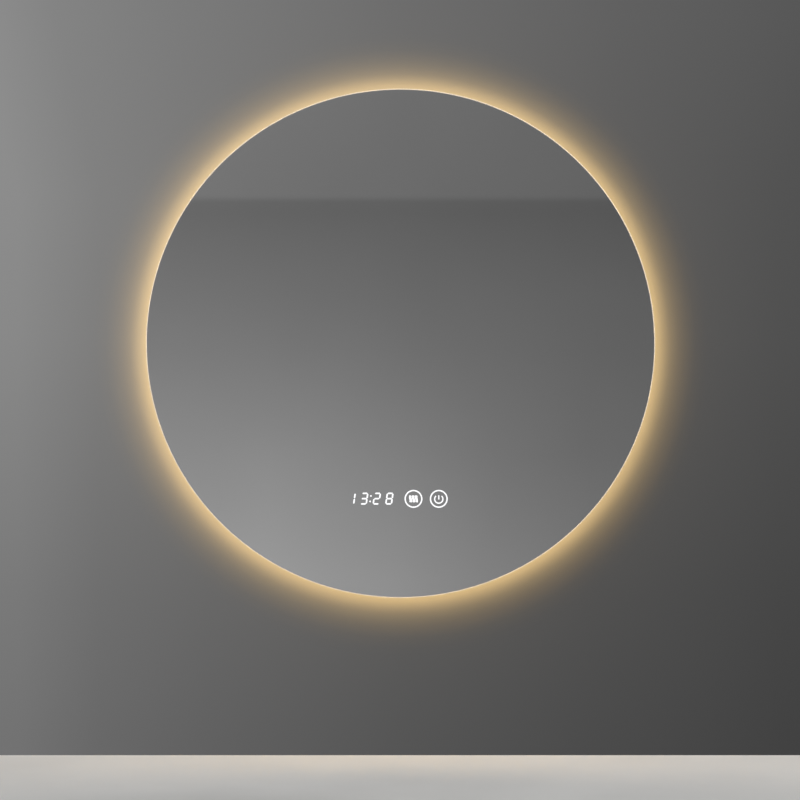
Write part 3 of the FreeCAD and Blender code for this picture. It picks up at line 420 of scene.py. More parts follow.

# ground and polished: clear, with a painted glow added for the band's light that the edge catches
edgeWithPaintedGlow, tree, place = startMaterial("polishedGlassEdgeWithPaintedGlow")
grit = addNode(tree, "TexNoise", {"Vector": place, "Scale": perMetre(0.6), "Detail": 2.0})
edgeMatt = addNode(tree, "MapRange", {"Value": grit, "To Min": 0.10, "To Max": 0.25})
edgeSkin = addNode(tree, "BsdfPrincipled", {
    "Base Color": linear("#fbfdfb"), "Roughness": edgeMatt, "IOR": 1.52, "Transmission Weight": 1.0,
    "Emission Color": linear("#fff7f0"), "Emission Strength": 0.43})
addNode(tree, "OutputMaterial", {"Surface": edgeSkin})

# brushed lacquer at the silver's edge: a thin dark line
edgeSeal, tree, place = startMaterial("edgeSealLacquer")
blots = addNode(tree, "TexNoise", {"Vector": place, "Scale": perMetre(4), "Detail": 2.0})
addSkin(tree, (blots, [(0.3, "#4a4744"), (0.7, "#565350")]), more={"Roughness": 0.4})

# curtain-coated paint: even grey, faint orange peel
backingPaint, tree, place = startMaterial("mirrorBackingPaint")
peel = addNode(tree, "TexNoise", {"Vector": place, "Scale": perMetre(2.5), "Detail": 2.0})
addSkin(tree, (peel, [(0.3, "#6c7377"), (0.7, "#747b7f")]), relief=(peel, 0.25, 0.0002),
        more={"Roughness": 0.42})

# light through the etched silver: even, cool white
litSign, tree, place = startMaterial("litEtchedSign")
grain = addNode(tree, "TexNoise", {"Vector": place, "Scale": perMetre(0.8), "Detail": 1.0})
signTone = addNode(tree, "ValToRGB", {"Fac": grain}, stops=[(0.3, "#f6f7f9"), (0.7, "#fdfdfe")])
signSkin = addNode(tree, "BsdfPrincipled", {
    "Base Color": linear("#20242a"), "Roughness": 0.5, "Emission Color": signTone,
    "Emission Strength": 1.25})
addNode(tree, "OutputMaterial", {"Surface": signSkin})


# glass: clear body, silver behind it, a clear polished edge with a painted glow outside the silver

paneValues = {
    "sides": 512,
    "silverRadius": glassRadius - 0.75 * mm,
    "sealWidth": 0.25 * mm,
    "arris": 0.55 * mm,
    "rearArris": 0.4 * mm,
    "backingThickness": 0.06 * mm,
    "backingGap": 0.02 * mm,
}
arris, rearArris, silver = (paneValues[k] for k in ("arris", "rearArris", "silverRadius"))
coat, gap = paneValues["backingThickness"], paneValues["backingGap"]
front, rear = glassLow.y, glassHigh.y - coat - gap
thick = rear - front
seal = silver + paneValues["sealWidth"]
profile = [(0, 0), (glassRadius - arris, 0)]
profile += roundedCorner(glassRadius - arris, arris, arris, -90, 0, 6)[1:]
profile += [(glassRadius, thick - rearArris)]
profile += roundedCorner(glassRadius - rearArris, thick - rearArris, rearArris, 0, 90, 3)[1:]
rimEnd = len(profile)
profile += [(seal, thick), (silver, thick), (0, thick)]
finishes = [0] + [3] * (rimEnd - 1) + [2, 1, 1]  # face, polished rim, sealed line, silver
bm = bmesh.new()
lathe(bm, Vector((centre.x, front, centre.z)), toWall, profile, paneValues["sides"], finishes,
      smooth=range(1, rimEnd - 1))
pane = makePiece("mirror_pane", bm, [floatGlass, silverCoat, edgeSeal, edgeWithPaintedGlow])
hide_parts("mirror_glass")

bm = bmesh.new()
lathe(bm, Vector((centre.x, rear + gap, centre.z)), toWall, [(0, 0), (seal, 0), (seal, coat), (0, coat)],
      paneValues["sides"] // 2)
makePiece("mirror_backing", bm, [backingPaint])
print("glass made")


# clock figures and key signs, etched in the silver and lit from behind

signValues = {
    "depth": 0.05 * mm,
    "silverGap": 0.05 * mm,      # between the signs and the silver
    "time": "13:28",
    "digitMiddles": (-76.9 * mm, -57.1 * mm, -37.3 * mm, -17.5 * mm),
    "colonPlace": -47.2 * mm,
    "rowDrop": 244.7 * mm,       # below the glass's middle
    "digitWidth": 11.2 * mm,
    "digitHeight": 19.0 * mm,
    "figureLift": 0.35 * mm,     # of the figures over the keys' middles
    "stroke": 2.4 * mm,
    "slant": math.radians(8.5),
    "gap": 0.45 * mm,
    "tip": 0.40,                 # length of a segment's pointed end, as a share of its width
    "blunt": 0.25,               # how much of its width is left at the very end
    "colonDot": 1.35 * mm,
    "colonSpread": 4.3 * mm,
    "keyPlaces": (20.4 * mm, 60.2 * mm),
    "ringRadius": 13.05 * mm,
    "ringLine": 2.1 * mm,
    "powerRadius": 6.5 * mm,
    "powerLine": 1.9 * mm,
    "powerGap": 4.3 * mm,
    "powerDrop": 0.3 * mm,
    "powerBar": (-1.0 * mm, 2.0 * mm, 5.5 * mm),   # heights over the ring's middle
    "wavePitch": 4.7 * mm,
    "waveLine": 3.75 * mm,
    "waveRun": 10.55 * mm,       # height of a wave's middle line
    "waveReach": 0.45 * mm,
    "waveSteps": 24,
}
stroke, lineWidth, slant = (signValues[k] for k in ("stroke", "ringLine", "slant"))
signFront = rear - signValues["silverGap"] - signValues["depth"]
rowHeight = centre.z - signValues["rowDrop"]
figureHeight = rowHeight + signValues["figureLift"]


def flatSign(bm, outline):
    # a thin plate in the glass, just in front of the silver; the outline is (x, z) points
    bm.faces.new([bm.verts.new((x, signFront, z)) for x, z in outline])


def ribbon(bm, line, width, closed=False):
    # a line of even width through (x, z) points, with round ends where it is open
    count = len(line)
    left, right = [], []
    for i, (x, z) in enumerate(line):
        before = line[i - 1] if closed or i else line[0]
        after = line[(i + 1) % count] if closed or i < count - 1 else line[-1]
        run = Vector((after[0] - before[0], after[1] - before[1])).normalized()
        side = Vector((-run.y, run.x)) * width / 2
        left.append(bm.verts.new((x + side.x, signFront, z + side.y)))
        right.append(bm.verts.new((x - side.x, signFront, z - side.y)))
    for i in range(count if closed else count - 1):
        n = (i + 1) % count
        bm.faces.new((left[i], right[i], right[n], left[n]))
    if closed:
        return
    for end, near, first, last in ((0, 1, left[0], right[0]), (-1, -2, right[-1], left[-1])):
        x, z = line[end]
        run = Vector((x - line[near][0], z - line[near][1])).normalized()
        start = math.atan2(-run.x, run.y)
        cap = [bm.verts.new((x + math.cos(start - math.pi * k / 8) * width / 2, signFront,
                             z + math.sin(start - math.pi * k / 8) * width / 2)) for k in range(1, 8)]
        bm.faces.new([first] + cap[::-1] + [last])


def signPiece(name, bm):
    # gives the flat outlines their depth
    grown = bmesh.ops.extrude_face_region(bm, geom=list(bm.faces))
    bmesh.ops.translate(bm, vec=toWall * signValues["depth"],
                        verts=[g for g in grown["geom"] if isinstance(g, bmesh.types.BMVert)])
    bmesh.ops.recalc_face_normals(bm, faces=bm.faces)
    makePiece(name, bm, [litSign])


def segmentOutline(start, end):
    # a bar with pointed ends between two corners of the figure
    run = (end - start).normalized()
    side = Vector((-run.y, run.x)) * stroke / 2
    a, b = start + run * signValues["gap"], end - run * signValues["gap"]
    tip, blunt = stroke * signValues["tip"], signValues["blunt"]
    return [a + side * blunt, a + run * tip + side, b - run * tip + side, b + side * blunt,
            b - side * blunt, b - run * tip - side, a + run * tip - side, a - side * blunt]


def drawFigure(bm, figure, middleX):
    w = signValues["digitWidth"] / 2 - stroke / 2
    h = signValues["digitHeight"] / 2 - stroke / 2
    corners = {"tl": (-w, h), "tr": (w, h), "ml": (-w, 0), "mr": (w, 0), "bl": (-w, -h), "br": (w, -h)}
    bars = {"a": ("tl", "tr"), "b": ("tr", "mr"), "c": ("mr", "br"), "d": ("bl", "br"), "e": ("ml", "bl"),
            "f": ("tl", "ml"), "g": ("ml", "mr")}
    lit = {"1": "bc", "2": "abged", "3": "abgcd", "8": "abcdefg"}
    for bar in lit[figure]:
        outline = segmentOutline(*(Vector(corners[c]) for c in bars[bar]))
        flatSign(bm, [(middleX + p.x + p.y * math.tan(slant), figureHeight + p.y) for p in outline])


bm = bmesh.new()
for figure, middleX in zip(signValues["time"].replace(":", ""), signValues["digitMiddles"]):
    drawFigure(bm, figure, middleX)
for lift in (-signValues["colonSpread"], signValues["colonSpread"]):
    dotX = signValues["colonPlace"] + lift * math.tan(slant)
    flatSign(bm, circleLine(dotX, figureHeight + lift, signValues["colonDot"], steps=24))
signPiece("clock_figures", bm)

demistX, powerX = signValues["keyPlaces"]
bm = bmesh.new()
ribbon(bm, circleLine(demistX, rowHeight, signValues["ringRadius"]), lineWidth, closed=True)
for k in (-1, 0, 1):
    wave = []
    for t in (i / signValues["waveSteps"] for i in range(signValues["waveSteps"] + 1)):
        x = demistX + k * signValues["wavePitch"] + signValues["waveReach"] * math.sin(2 * math.pi * t)
        wave.append((x, rowHeight + (t - 0.5) * signValues["waveRun"]))
    ribbon(bm, wave, signValues["waveLine"])
signPiece("demist_sign", bm)

bm = bmesh.new()
ribbon(bm, circleLine(powerX, rowHeight, signValues["ringRadius"]), lineWidth, closed=True)
radius, lineWidth = signValues["powerRadius"], signValues["powerLine"]
opening = math.asin(signValues["powerGap"] / radius)
ribbon(bm, circleLine(powerX, rowHeight - signValues["powerDrop"], radius, math.pi / 2 + opening,
                      5 * math.pi / 2 - opening, 60), lineWidth)
ribbon(bm, [(powerX, rowHeight + lift) for lift in signValues["powerBar"]], lineWidth)
signPiece("power_sign", bm)
print("clock figures and key signs made")


# light behind the edge

lightValues = {
    "bandColour": "#ffe3b4",
    "bandStrength": 0.60,
    "spotShare": 0.12,          # how much brighter the band is over a chip, and darker between two
    "wallColour": "#ffd282",
    "wallGlow": 9.7,            # brightness of the band as the wall gets it
    "lamps": 40,
    "lampGap": 0.15 * mm,
    "chips": 68,                # bright spots round the band
}

# milky acrylic lit from inside: warm, chips faintly seen
opalPlastic, tree, place = startMaterial("opalAcrylicExtrusion")
apart = addNode(tree, "VectorMath", {0: place, 1: centre}, operation="SUBTRACT")
sides = addNode(tree, "SeparateXYZ", {"Vector": apart})
turn = addNode(tree, "Math", {0: sides.outputs["Z"], 1: sides.outputs["X"]}, operation="ARCTAN2")
phase = addNode(tree, "Math", {0: turn, 1: float(lightValues["chips"])}, operation="MULTIPLY")
spots = addNode(tree, "Math", {0: phase}, operation="COSINE")
strength, spotShare = lightValues["bandStrength"], lightValues["spotShare"]
bandGlow = addNode(tree, "MapRange", {
    "Value": spots, **fromEnds(-1.0, 1.0),
    "To Min": strength * (1 - spotShare), "To Max": strength * (1 + spotShare)})
opalSkin = addNode(tree, "BsdfPrincipled", {
    "Base Color": linear("#b9b3a6"), "Roughness": 0.45, "Emission Color": linear(lightValues["bandColour"]),
    "Emission Strength": bandGlow})
addNode(tree, "OutputMaterial", {"Surface": opalSkin})

bandLow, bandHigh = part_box("light_diffuser")
lampRadius = (bandHigh.x - bandLow.x) / 2 + lightValues["lampGap"]
for k in range(lightValues["lamps"]):
    turned = 2 * math.pi * k / lightValues["lamps"]
    outwards = Vector((math.cos(turned), 0, math.sin(turned)))
    along = Vector((-math.sin(turned), 0, math.cos(turned)))
    lampData = bpy.data.lights.new("channelLight", "AREA")
    lampData.shape = "RECTANGLE"
    lampData.size = 2 * lampRadius * math.tan(math.pi / lightValues["lamps"])
    lampData.size_y = bandHigh.y - bandLow.y
    lampData.energy = lightValues["wallGlow"] * math.pi * lampData.size * lampData.size_y
    lampData.color = linear(lightValues["wallColour"])[:3]
    lamp = bpy.data.objects.new("channelLight", lampData)
    turns = Matrix((along, -outwards.cross(along), -outwards)).transposed()
    spot = Vector((centre.x, (bandLow.y + bandHigh.y) / 2, centre.z)) + outwards * lampRadius
    lamp.matrix_world = Matrix.Translation(spot) @ turns.to_4x4()
    lamp.visible_camera = False
    lamp.visible_transmission = False
    scene.collection.objects.link(lamp)
    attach(lamp, "mirror")
print("light band made")


# metals, plastics and rubbers of the body

metal = {"Metallic": 1.0}

# extruded, rolled and satin anodised: lines run with the ring
satinAluminium, tree, place = startMaterial("anodisedAluminium")
apart, away = aroundAxis(tree, place)
depth = addNode(tree, "SeparateXYZ", {"Vector": apart}).outputs["Y"]
dieLines = addNode(tree, "CombineXYZ", {"X": away, "Y": depth, "Z": 0.0})
lines = addNode(tree, "TexNoise", {"Vector": dieLines, "Scale": perMetre(0.5), "Detail": 4.0})
addSkin(tree, (lines, [(0.25, "#bfc1c2"), (0.75, "#d3d5d6")]), (lines, 0.28, 0.44), (lines, 0.2, 0.0001),
        metal)

# hot-dip zinc crystals: patches of slightly different grey
spangledSteel, tree, place = startMaterial("hotDipGalvanisedSteel")
warp = addNode(tree, "TexNoise", {"Vector": place, "Scale": perMetre(12), "Detail": 1.0})
bent = addNode(tree, "VectorMath", {0: warp.outputs["Color"], 1: (0.002, 0.002, 0.002)},
               operation="MULTIPLY")
bentPlace = addNode(tree, "VectorMath", {0: place, 1: bent}, operation="ADD")
crystals = addNode(tree, "TexVoronoi", {"Vector": bentPlace, "Scale": perMetre(7), "Smoothness": 0.15},
                   feature="SMOOTH_F1")
grey = addNode(tree, "SeparateColor", {0: crystals.outputs["Color"]})
feathers = addNode(tree, "TexNoise", {"Vector": place, "Scale": perMetre(1.6), "Detail": 4.0})
blend = addNode(tree, "Mix", {0: 0.35, 2: grey, 3: feathers})
addSkin(tree, (blend, [(0.1, "#a7abad"), (0.5, "#afb3b5"), (0.9, "#b8bbbd")]), (grey.outputs[1], 0.34, 0.44),
        (feathers, 0.12, 0.0002), metal)

# pressed, zinc plated, blue passivated: cool, faint rainbow
zincPlate, tree, place = startMaterial("zincPlatedSteel")
rolled = addNode(tree, "Mapping", {"Vector": place, "Scale": (0.06, 1.0, 1.0)})
rolling = addNode(tree, "TexNoise", {"Vector": rolled, "Scale": perMetre(0.8), "Detail": 4.0})
stain = addNode(tree, "TexNoise", {"Vector": place, "Scale": perMetre(25), "Detail": 3.0})
addSkin(tree, (stain, [(0.30, "#cdd4dc"), (0.45, "#d9dcdf"), (0.55, "#dddedd"), (0.70, "#d2d8de")]),
        (rolling, 0.20, 0.34), (rolling, 0.12, 0.0001), metal)

# skin-passed, rolled after dipping: even, no crystals, faint lines
coverSteel, tree, place = startMaterial("skinPassedGalvanisedSteel")
rolled = addNode(tree, "Mapping", {"Vector": place, "Scale": (1.0, 1.0, 0.05)})
rolling = addNode(tree, "TexNoise", {"Vector": rolled, "Scale": perMetre(0.9), "Detail": 4.0})
addSkin(tree, (rolling, [(0.3, "#c2c6c8"), (0.7, "#cfd2d3")]), (rolling, 0.26, 0.40), (rolling, 0.1, 0.0001),
        metal)

# drawn and set rivets: bright, lightly scuffed
brightAluminium, tree, place = startMaterial("plainAluminium")
scuffs = addNode(tree, "TexNoise", {"Vector": place, "Scale": perMetre(0.7), "Detail": 3.0})
addSkin(tree, (scuffs, [(0.3, "#c9cbcc"), (0.7, "#e0e1e1")]), (scuffs, 0.20, 0.42), more=metal)

# turned brass: yellow, with fine tool marks
brass, tree, place = startMaterial("machinedBrass")
cuts = addNode(tree, "TexNoise", {"Vector": place, "Scale": perMetre(0.4), "Detail": 3.0})
addSkin(tree, (cuts, [(0.3, "#c09a4e"), (0.7, "#d8b566")]), (cuts, 0.22, 0.36), more=metal)


def mouldedMaterial(name, dark, light, grain, roughness, bump, more=None):
    # plastics and rubbers from a spark-eroded mould: a fine grain in shade, gloss and surface
    material, tree, place = startMaterial(name)
    pores = addNode(tree, "TexNoise", {"Vector": place, "Scale": perMetre(grain), "Detail": 3.0})
    addSkin(tree, (pores, [(0.35, dark), (0.65, light)]), (pores, roughness - 0.06, roughness + 0.06),
            (pores, bump, 0.0002), more)
    return material


# rubber is dull and soft-edged, plastics have a low even gloss, foam shows open pores
blackRubber = mouldedMaterial("mouldedRubber", "#1b1b1c", "#262627", 0.9, 0.70, 0.25)
closedFoam = mouldedMaterial("closedCellFoamTape", "#232323", "#3a3a3a", 0.9, 0.88, 0.6)
whiteNylon = mouldedMaterial("mouldedNylon", "#e2e1dc", "#ebeae6", 0.7, 0.48, 0.15)
whitePolycarbonate = mouldedMaterial("mouldedPolycarbonate", "#dcdcd8", "#e6e6e3", 0.8, 0.42, 0.15)
greyPolycarbonate = mouldedMaterial("greyPolycarbonate", "#b0b3b5", "#babdbf", 0.8, 0.45, 0.15)
blackPlastic = mouldedMaterial("mouldedAbs", "#1d1e1f", "#262728", 0.7, 0.46, 0.2)
cableSheath = mouldedMaterial("extrudedCableSheath", "#dedfda", "#e8e8e4", 1.5, 0.50, 0.1)
earthSheath = mouldedMaterial("earthCableSheath", "#4f9a2e", "#62a83a", 1.5, 0.48, 0.1)
ferriteCore = mouldedMaterial("sinteredFerrite", "#2a2a2c", "#38383a", 1.2, 0.60, 0.4)
pottingResin = mouldedMaterial("pottedDisplayResin", "#151617", "#1c1d1e", 3.0, 0.20, 0.05)
whiteMask = mouldedMaterial("whiteSolderMask", "#e4e4df", "#efefeb", 1.0, 0.35, 0.1)
phosphor = mouldedMaterial("phosphorResin", "#e6c65a", "#f0d678", 0.4, 0.30, 0.1)
clearGuide = mouldedMaterial("polishedAcrylicGuide", "#e6eef2", "#f2f8fa", 5.0, 0.12, 0.02,
                             {"Transmission Weight": 0.6, "IOR": 1.49})
litBar = mouldedMaterial("litSegmentResin", "#eef3f8", "#f8fbff", 0.8, 0.35, 0.02,
                         {"Emission Color": linear("#f4f8ff"), "Emission Strength": 1.0})

# green solder mask on glass fibre: tracks show lighter under it
circuitBoard, tree, place = startMaterial("glassFibreCircuitBoard")
upright = addNode(tree, "Mapping", {"Vector": place, "Rotation": (math.radians(90), 0.0, 0.0)})
tracks = addNode(tree, "TexBrick", {
    "Vector": upright, "Color1": linear("#0f4a2c"), "Color2": linear("#135634"), "Mortar": linear("#2a7a4c"),
    "Scale": perMetre(10), "Mortar Size": 0.05, "Brick Width": 0.9, "Row Height": 0.35})
weave = addNode(tree, "TexNoise", {"Vector": place, "Scale": perMetre(0.6)})
ridges = addNode(tree, "Bump", {"Height": tracks.outputs["Fac"], "Strength": 0.3, "Distance": 0.0001})
maskMatt = addNode(tree, "MapRange", {"Value": weave, "To Min": 0.25, "To Max": 0.4})
boardSkin = addNode(tree, "BsdfPrincipled", {"Base Color": tracks, "Roughness": maskMatt, "Normal": ridges})
addNode(tree, "OutputMaterial", {"Surface": boardSkin})

# clear polyester with silver tracks to and fro, about 12 mm apart
heatingFilm, tree, place = startMaterial("printedHeatingFilm")
snake = addNode(tree, "TexWave", {"Vector": place, "Scale": perMetre(12) / math.pi, "Distortion": 0.0},
                bands_direction="Z").outputs["Fac"]
addSkin(tree, (snake, [(0.55, "#b9a778"), (0.62, "#d9d6cf")]), (snake, 0.25, 0.45))
print("materials made")


# small parts with their real forms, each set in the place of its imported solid

def solidBoxes(name):
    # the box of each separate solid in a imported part, in order along x and then z
    bm = bmesh.new()
    bm.from_mesh(nodes[name].data)
    bmesh.ops.remove_doubles(bm, verts=bm.verts, dist=0.002 * mm)
    left, boxes = set(bm.verts), []
    while left:
        front, found = [left.pop()], []
        while front:
            vert = front.pop()
            found.append(vert.co.copy())
            for edge in vert.link_edges:
                near = edge.other_vert(vert)
                if near in left:
                    left.remove(near)
                    front.append(near)
        boxes.append((Vector(min(c[k] for c in found) for k in range(3)),
                      Vector(max(c[k] for c in found) for k in range(3))))
    bm.free()
    return sorted(boxes, key=lambda box: (round(box[0].x, 4), round(box[0].z, 4)))


def solidSize(name):
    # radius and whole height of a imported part's first solid
    low, high = solidBoxes(name)[0]
    return (high.x - low.x) / 2, high.y - low.y


def cutAway(body, cutters):
    # takes each cutter's shape out of the body and gives back one mesh
    made = []
    for bm in [body] + cutters:
        made.append(bpy.data.objects.new("cutting", toMesh(bm, "cutting")))
        scene.collection.objects.link(made[-1])
    for cutter in made[1:]:
        cut = made[0].modifiers.new("cut", "BOOLEAN")
        cut.object = cutter
        cut.operation = "DIFFERENCE"
        cut.solver = "EXACT"
    bpy.context.view_layer.update()
    result = bpy.data.meshes.new_from_object(made[0].evaluated_get(bpy.context.evaluated_depsgraph_get()))
    for obj in made:
        bpy.data.objects.remove(obj)
    return result


def smoothCurves(piece, angle=35):
    for face in piece.data.polygons:
        face.use_smooth = True
    piece.data.set_sharp_from_angle(angle=math.radians(angle))


def placeCopies(name, mesh, replaced, material):
    # the mesh, whose top is at the origin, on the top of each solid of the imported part, each turned otherwise
    bm = bmesh.new()
    for k, (low, high) in enumerate(solidBoxes(replaced)):
        before = set(bm.verts)
        bm.from_mesh(mesh)
        spot = Vector(((low.x + high.x) / 2, high.y, (low.z + high.z) / 2))
        turned = Matrix.Translation(spot) @ Matrix.Rotation(math.radians(37 * k + 12), 4, "Y")
        bmesh.ops.transform(bm, matrix=turned, verts=[v for v in bm.verts if v not in before])
    piece = makePiece(name, bm, [material])
    smoothCurves(piece)
    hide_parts(replaced)


screwValues = {
    "sides": 40,
    "heads": {"panel_screws": 1.9 * mm, "box_cover_screws": None},   # None takes headShare
    "headShare": 0.55,           # height over radius
    "headCurve": ((0, 0), (0.45, 0.03), (0.70, 0.12), (0.88, 0.30), (0.97, 0.55), (1, 0.85), (1, 1)),
    "shankShare": 0.40,          # shank over head, and so on down: root over shank, point over shank
    "rootShare": 0.82,
    "pointShare": 0.8,
    "pitch": 1.0 * mm,
    "threadEnd": 1.2 * mm,       # from the tip
    "pointLength": 0.6 * mm,
    "recessLength": 0.60,        # shares of the head's width, and of its height for the depth
    "recessWidth": 0.15,
    "recessDepth": 0.62,
    "recessTaper": 0.35,
    "recessRise": 0.4 * mm,      # how far the cutter stands over the head, and how much it widens there
    "recessFlare": 1.1,
}


def recessArm(bm, radius, head, turned):
    # a bar that narrows downwards, for one arm of a cross recess, in a head with its top at y = 0
    length, width = radius * screwValues["recessLength"], radius * screwValues["recessWidth"]
    ends = []
    for level, share in ((screwValues["recessRise"], screwValues["recessFlare"]),
                         (-head * screwValues["recessDepth"], 1.0 - screwValues["recessTaper"])):
        for x, z in ((-1, -1), (1, -1), (1, 1), (-1, 1)):
            spot = Vector((x * length * share, level, z * width * share))
            ends.append(bm.verts.new(Matrix.Rotation(turned, 4, "Y") @ spot))
    for corners in ((0, 1, 2, 3), (7, 6, 5, 4), (0, 4, 5, 1), (1, 5, 6, 2), (2, 6, 7, 3), (3, 7, 4, 0)):
        bm.faces.new([ends[c] for c in corners])
    bmesh.ops.recalc_face_normals(bm, faces=bm.faces)


def screwMesh(radius, whole, head):
    # a pan-head screw: head up to y = 0, shank below it, a cross recess in the head
    shank, pitch = radius * screwValues["shankShare"], screwValues["pitch"]
    profile = [(radius * out, -head * down) for out, down in screwValues["headCurve"]]
    depth = head
    while depth < whole - screwValues["threadEnd"]:
        profile += [(shank, -depth), (shank * screwValues["rootShare"], -depth - pitch / 2)]
        depth += pitch
    profile += [(shank * screwValues["pointShare"], -whole + screwValues["pointLength"]), (0, -whole)]
    bm = bmesh.new()
    lathe(bm, origin, toWall, profile, screwValues["sides"])
    cutters = [bmesh.new(), bmesh.new()]
    for cutter, turned in zip(cutters, (0, math.pi / 2)):
        recessArm(cutter, radius, head, turned)
    return cutAway(bm, cutters)


for name, head in screwValues["heads"].items():
    radius, whole = solidSize(name)
    mesh = screwMesh(radius, whole, head or radius * screwValues["headShare"])
    placeCopies(name.replace("screws", "pan_screws"), mesh, name, zincPlate)

rivetValues = {
    "sides": 40,
    "hole": 0.8 * mm,
    "sunk": 0.45 * mm,
    "holeRim": (0.15 * mm, 0.04 * mm),   # width and depth of the broken edge round the hole
    "headCurve": (
        (0.55, 0.08 * mm), (0.80, 0.28 * mm), (0.95, 0.60 * mm), (1.0, 0.90 * mm), (1.0, 1.0 * mm)),
}
radius, whole = solidSize("hanger_rivets")
hole, sunk = rivetValues["hole"], rivetValues["sunk"]
rimWidth, rimDepth = rivetValues["holeRim"]
profile = [(0, -sunk), (hole, -sunk), (hole, -rimDepth), (hole + rimWidth, 0)]
profile += [(radius * out, -down) for out, down in rivetValues["headCurve"]]
profile += [(radius / 2, profile[-1][1]), (radius / 2, -whole), (0, -whole)]
bm = bmesh.new()
lathe(bm, origin, toWall, profile, rivetValues["sides"])
placeCopies("hanger_blind_rivets", toMesh(bm, "rivet"), "hanger_rivets", brightAluminium)

bumperValues = {
    "sides": 64,
    "tipShare": 0.85,
    "rounding": 0.9 * mm,
    "dimple": 3.2 * mm,
    "dimpleSlope": 0.5 * mm,
    "dimpleDepth": 1.2 * mm,
    "foot": 0.5 * mm,
    "footStep": 0.35 * mm,
}
base, tall = solidSize("wall_bumpers")
r, dimple, sunk, foot = (bumperValues[k] for k in ("rounding", "dimple", "dimpleDepth", "foot"))
profile = [(0, -sunk), (dimple - bumperValues["dimpleSlope"], -sunk), (dimple, 0.0)]
profile += roundedCorner(base * bumperValues["tipShare"] - r, -r, r, 90, 8, 5)
profile += [(base - bumperValues["footStep"], -tall + foot), (base, -tall + foot * 0.6), (base, -tall),
            (0, -tall)]
bm = bmesh.new()
lathe(bm, origin, toWall, profile, bumperValues["sides"])
placeCopies("rubber_bumpers", toMesh(bm, "bumper"), "wall_bumpers", blackRubber)

bushValues = {
    "sides": 72,
    "bore": 4.5 * mm,
    "neck": 7.0 * mm,
    "flangeDepth": 2.0 * mm,
    "rounding": 0.8 * mm,
    "chamfer": (0.5 * mm, 0.6 * mm),
}
bushLow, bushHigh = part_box("cable_bush")
bushMiddle = (bushLow + bushHigh) / 2
flange, whole = (bushHigh.x - bushLow.x) / 2, bushHigh.y - bushLow.y
r, bore, neck, step = (bushValues[k] for k in ("rounding", "bore", "neck", "flangeDepth"))
chamferWidth, chamferDepth = bushValues["chamfer"]
profile = roundedCorner(bore + r, -r, r, 180, 90, 5) + roundedCorner(flange - r, -r, r, 90, 0, 5)
profile += [(flange, -step), (neck, -step), (neck, -whole + chamferDepth), (neck - chamferWidth, -whole),
            (bore, -whole)]
bm = bmesh.new()
lathe(bm, Vector((bushMiddle.x, bushHigh.y, bushMiddle.z)), toWall, profile, bushValues["sides"])
bush = makePiece("rubber_cable_bush", bm, [blackRubber])
smoothCurves(bush)
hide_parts("cable_bush")
print("screws, rivets and rubber parts made")


# sheet metal of the back: panel with pressed beads, cover of the cable box, the two bars of the hook

def sheetPiece(name, mesh, material, replaced, body="mirror"):
    bm = bmesh.new()
    bm.from_mesh(mesh)
    piece = makePiece(name, bm, [material], body)
    smoothCurves(piece)
    even = piece.modifiers.new("evenShading", "WEIGHTED_NORMAL")
    even.keep_sharp = True
    even.weight = 100
    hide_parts(replaced)


def punch(bm, outline, low, high):
    # a cutter with that outline through a sheet, 1 mm longer on both sides
    stackOutlines(bm, [(outline, low - 1 * mm), (outline, high + 1 * mm)])


def shankHoles(bm, name, radius, low, high):
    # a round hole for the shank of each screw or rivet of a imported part
    for a, b in solidBoxes(name):
        punch(bm, circleLine((a.x + b.x) / 2, (a.z + b.z) / 2, radius, steps=24), low, high)


panelValues = {
    "sides": 256,
    "edge": 0.25 * mm,
    "screwHole": 1.6 * mm,
    "rivetHole": 1.75 * mm,
    "ventMiddles": [(-45 + (k - 4) * 14) * mm for k in range(9)],
    "ventHeight": -4.0 * mm,       # of the vents' middles over the mirror's middle
    "ventSize": (30.0 * mm, 4.0 * mm),
    "boxOpening": (119.0 * mm, 60.0 * mm, 70.0 * mm, 46.0 * mm),
    "openingCorner": 2.0 * mm,
    "beadTurns": (-158.0, -125.0, -55.0, -22.0),
    "beadRadius": 235.0 * mm,
    "beadSize": (150.0 * mm, 16.0 * mm),
    "beadRise": 1.8 * mm,
    "beadFlank": 5.0 * mm,         # width over which a bead's side swings up
    "beadStep": 0.5 * mm,
    "beadSteps": 13,
    "straightAngle": math.radians(1),   # a stray point lies on a line that bends by less
    "weldDistance": 0.002 * mm,
}
low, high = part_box("back_panel")
radius = (high.x - low.x) / 2
panelFront, panelRear = low.y, high.y - panelValues["beadRise"]
edge = panelValues["edge"]
body = bmesh.new()
stackOutlines(body, [(circleLine(centre.x, centre.z, r, steps=panelValues["sides"]), depth) for r, depth in (
    (radius - edge, panelFront), (radius, panelFront + edge), (radius, panelRear - edge),
    (radius - edge, panelRear))])
cutter = bmesh.new()
shankHoles(cutter, "panel_screws", panelValues["screwHole"], panelFront, panelRear)
shankHoles(cutter, "hanger_rivets", panelValues["rivetHole"], panelFront, panelRear)
outlines = [ovalLine(x, centre.z + panelValues["ventHeight"], *panelValues["ventSize"], math.pi / 2)
            for x in panelValues["ventMiddles"]]
x, z, length, width = panelValues["boxOpening"]
outlines.append(roundedBoxLine(x, centre.z + z, length, width, panelValues["openingCorner"]))
beads = []
for turned in (math.radians(a) for a in panelValues["beadTurns"]):
    out = panelValues["beadRadius"]
    beads.append((out * math.cos(turned), centre.z + out * math.sin(turned), turned))
length, width = panelValues["beadSize"]
outlines += [ovalLine(x, z, length, width, turned) for x, z, turned in beads]
for outline in outlines:
    punch(cutter, outline, panelFront, panelRear)
bm = bmesh.new()
bm.from_mesh(cutAway(body, [cutter]))
bmesh.ops.triangulate(bm, faces=bm.faces)
cutWalls = []  # faces round the beads' openings, where the beads' own flanks go
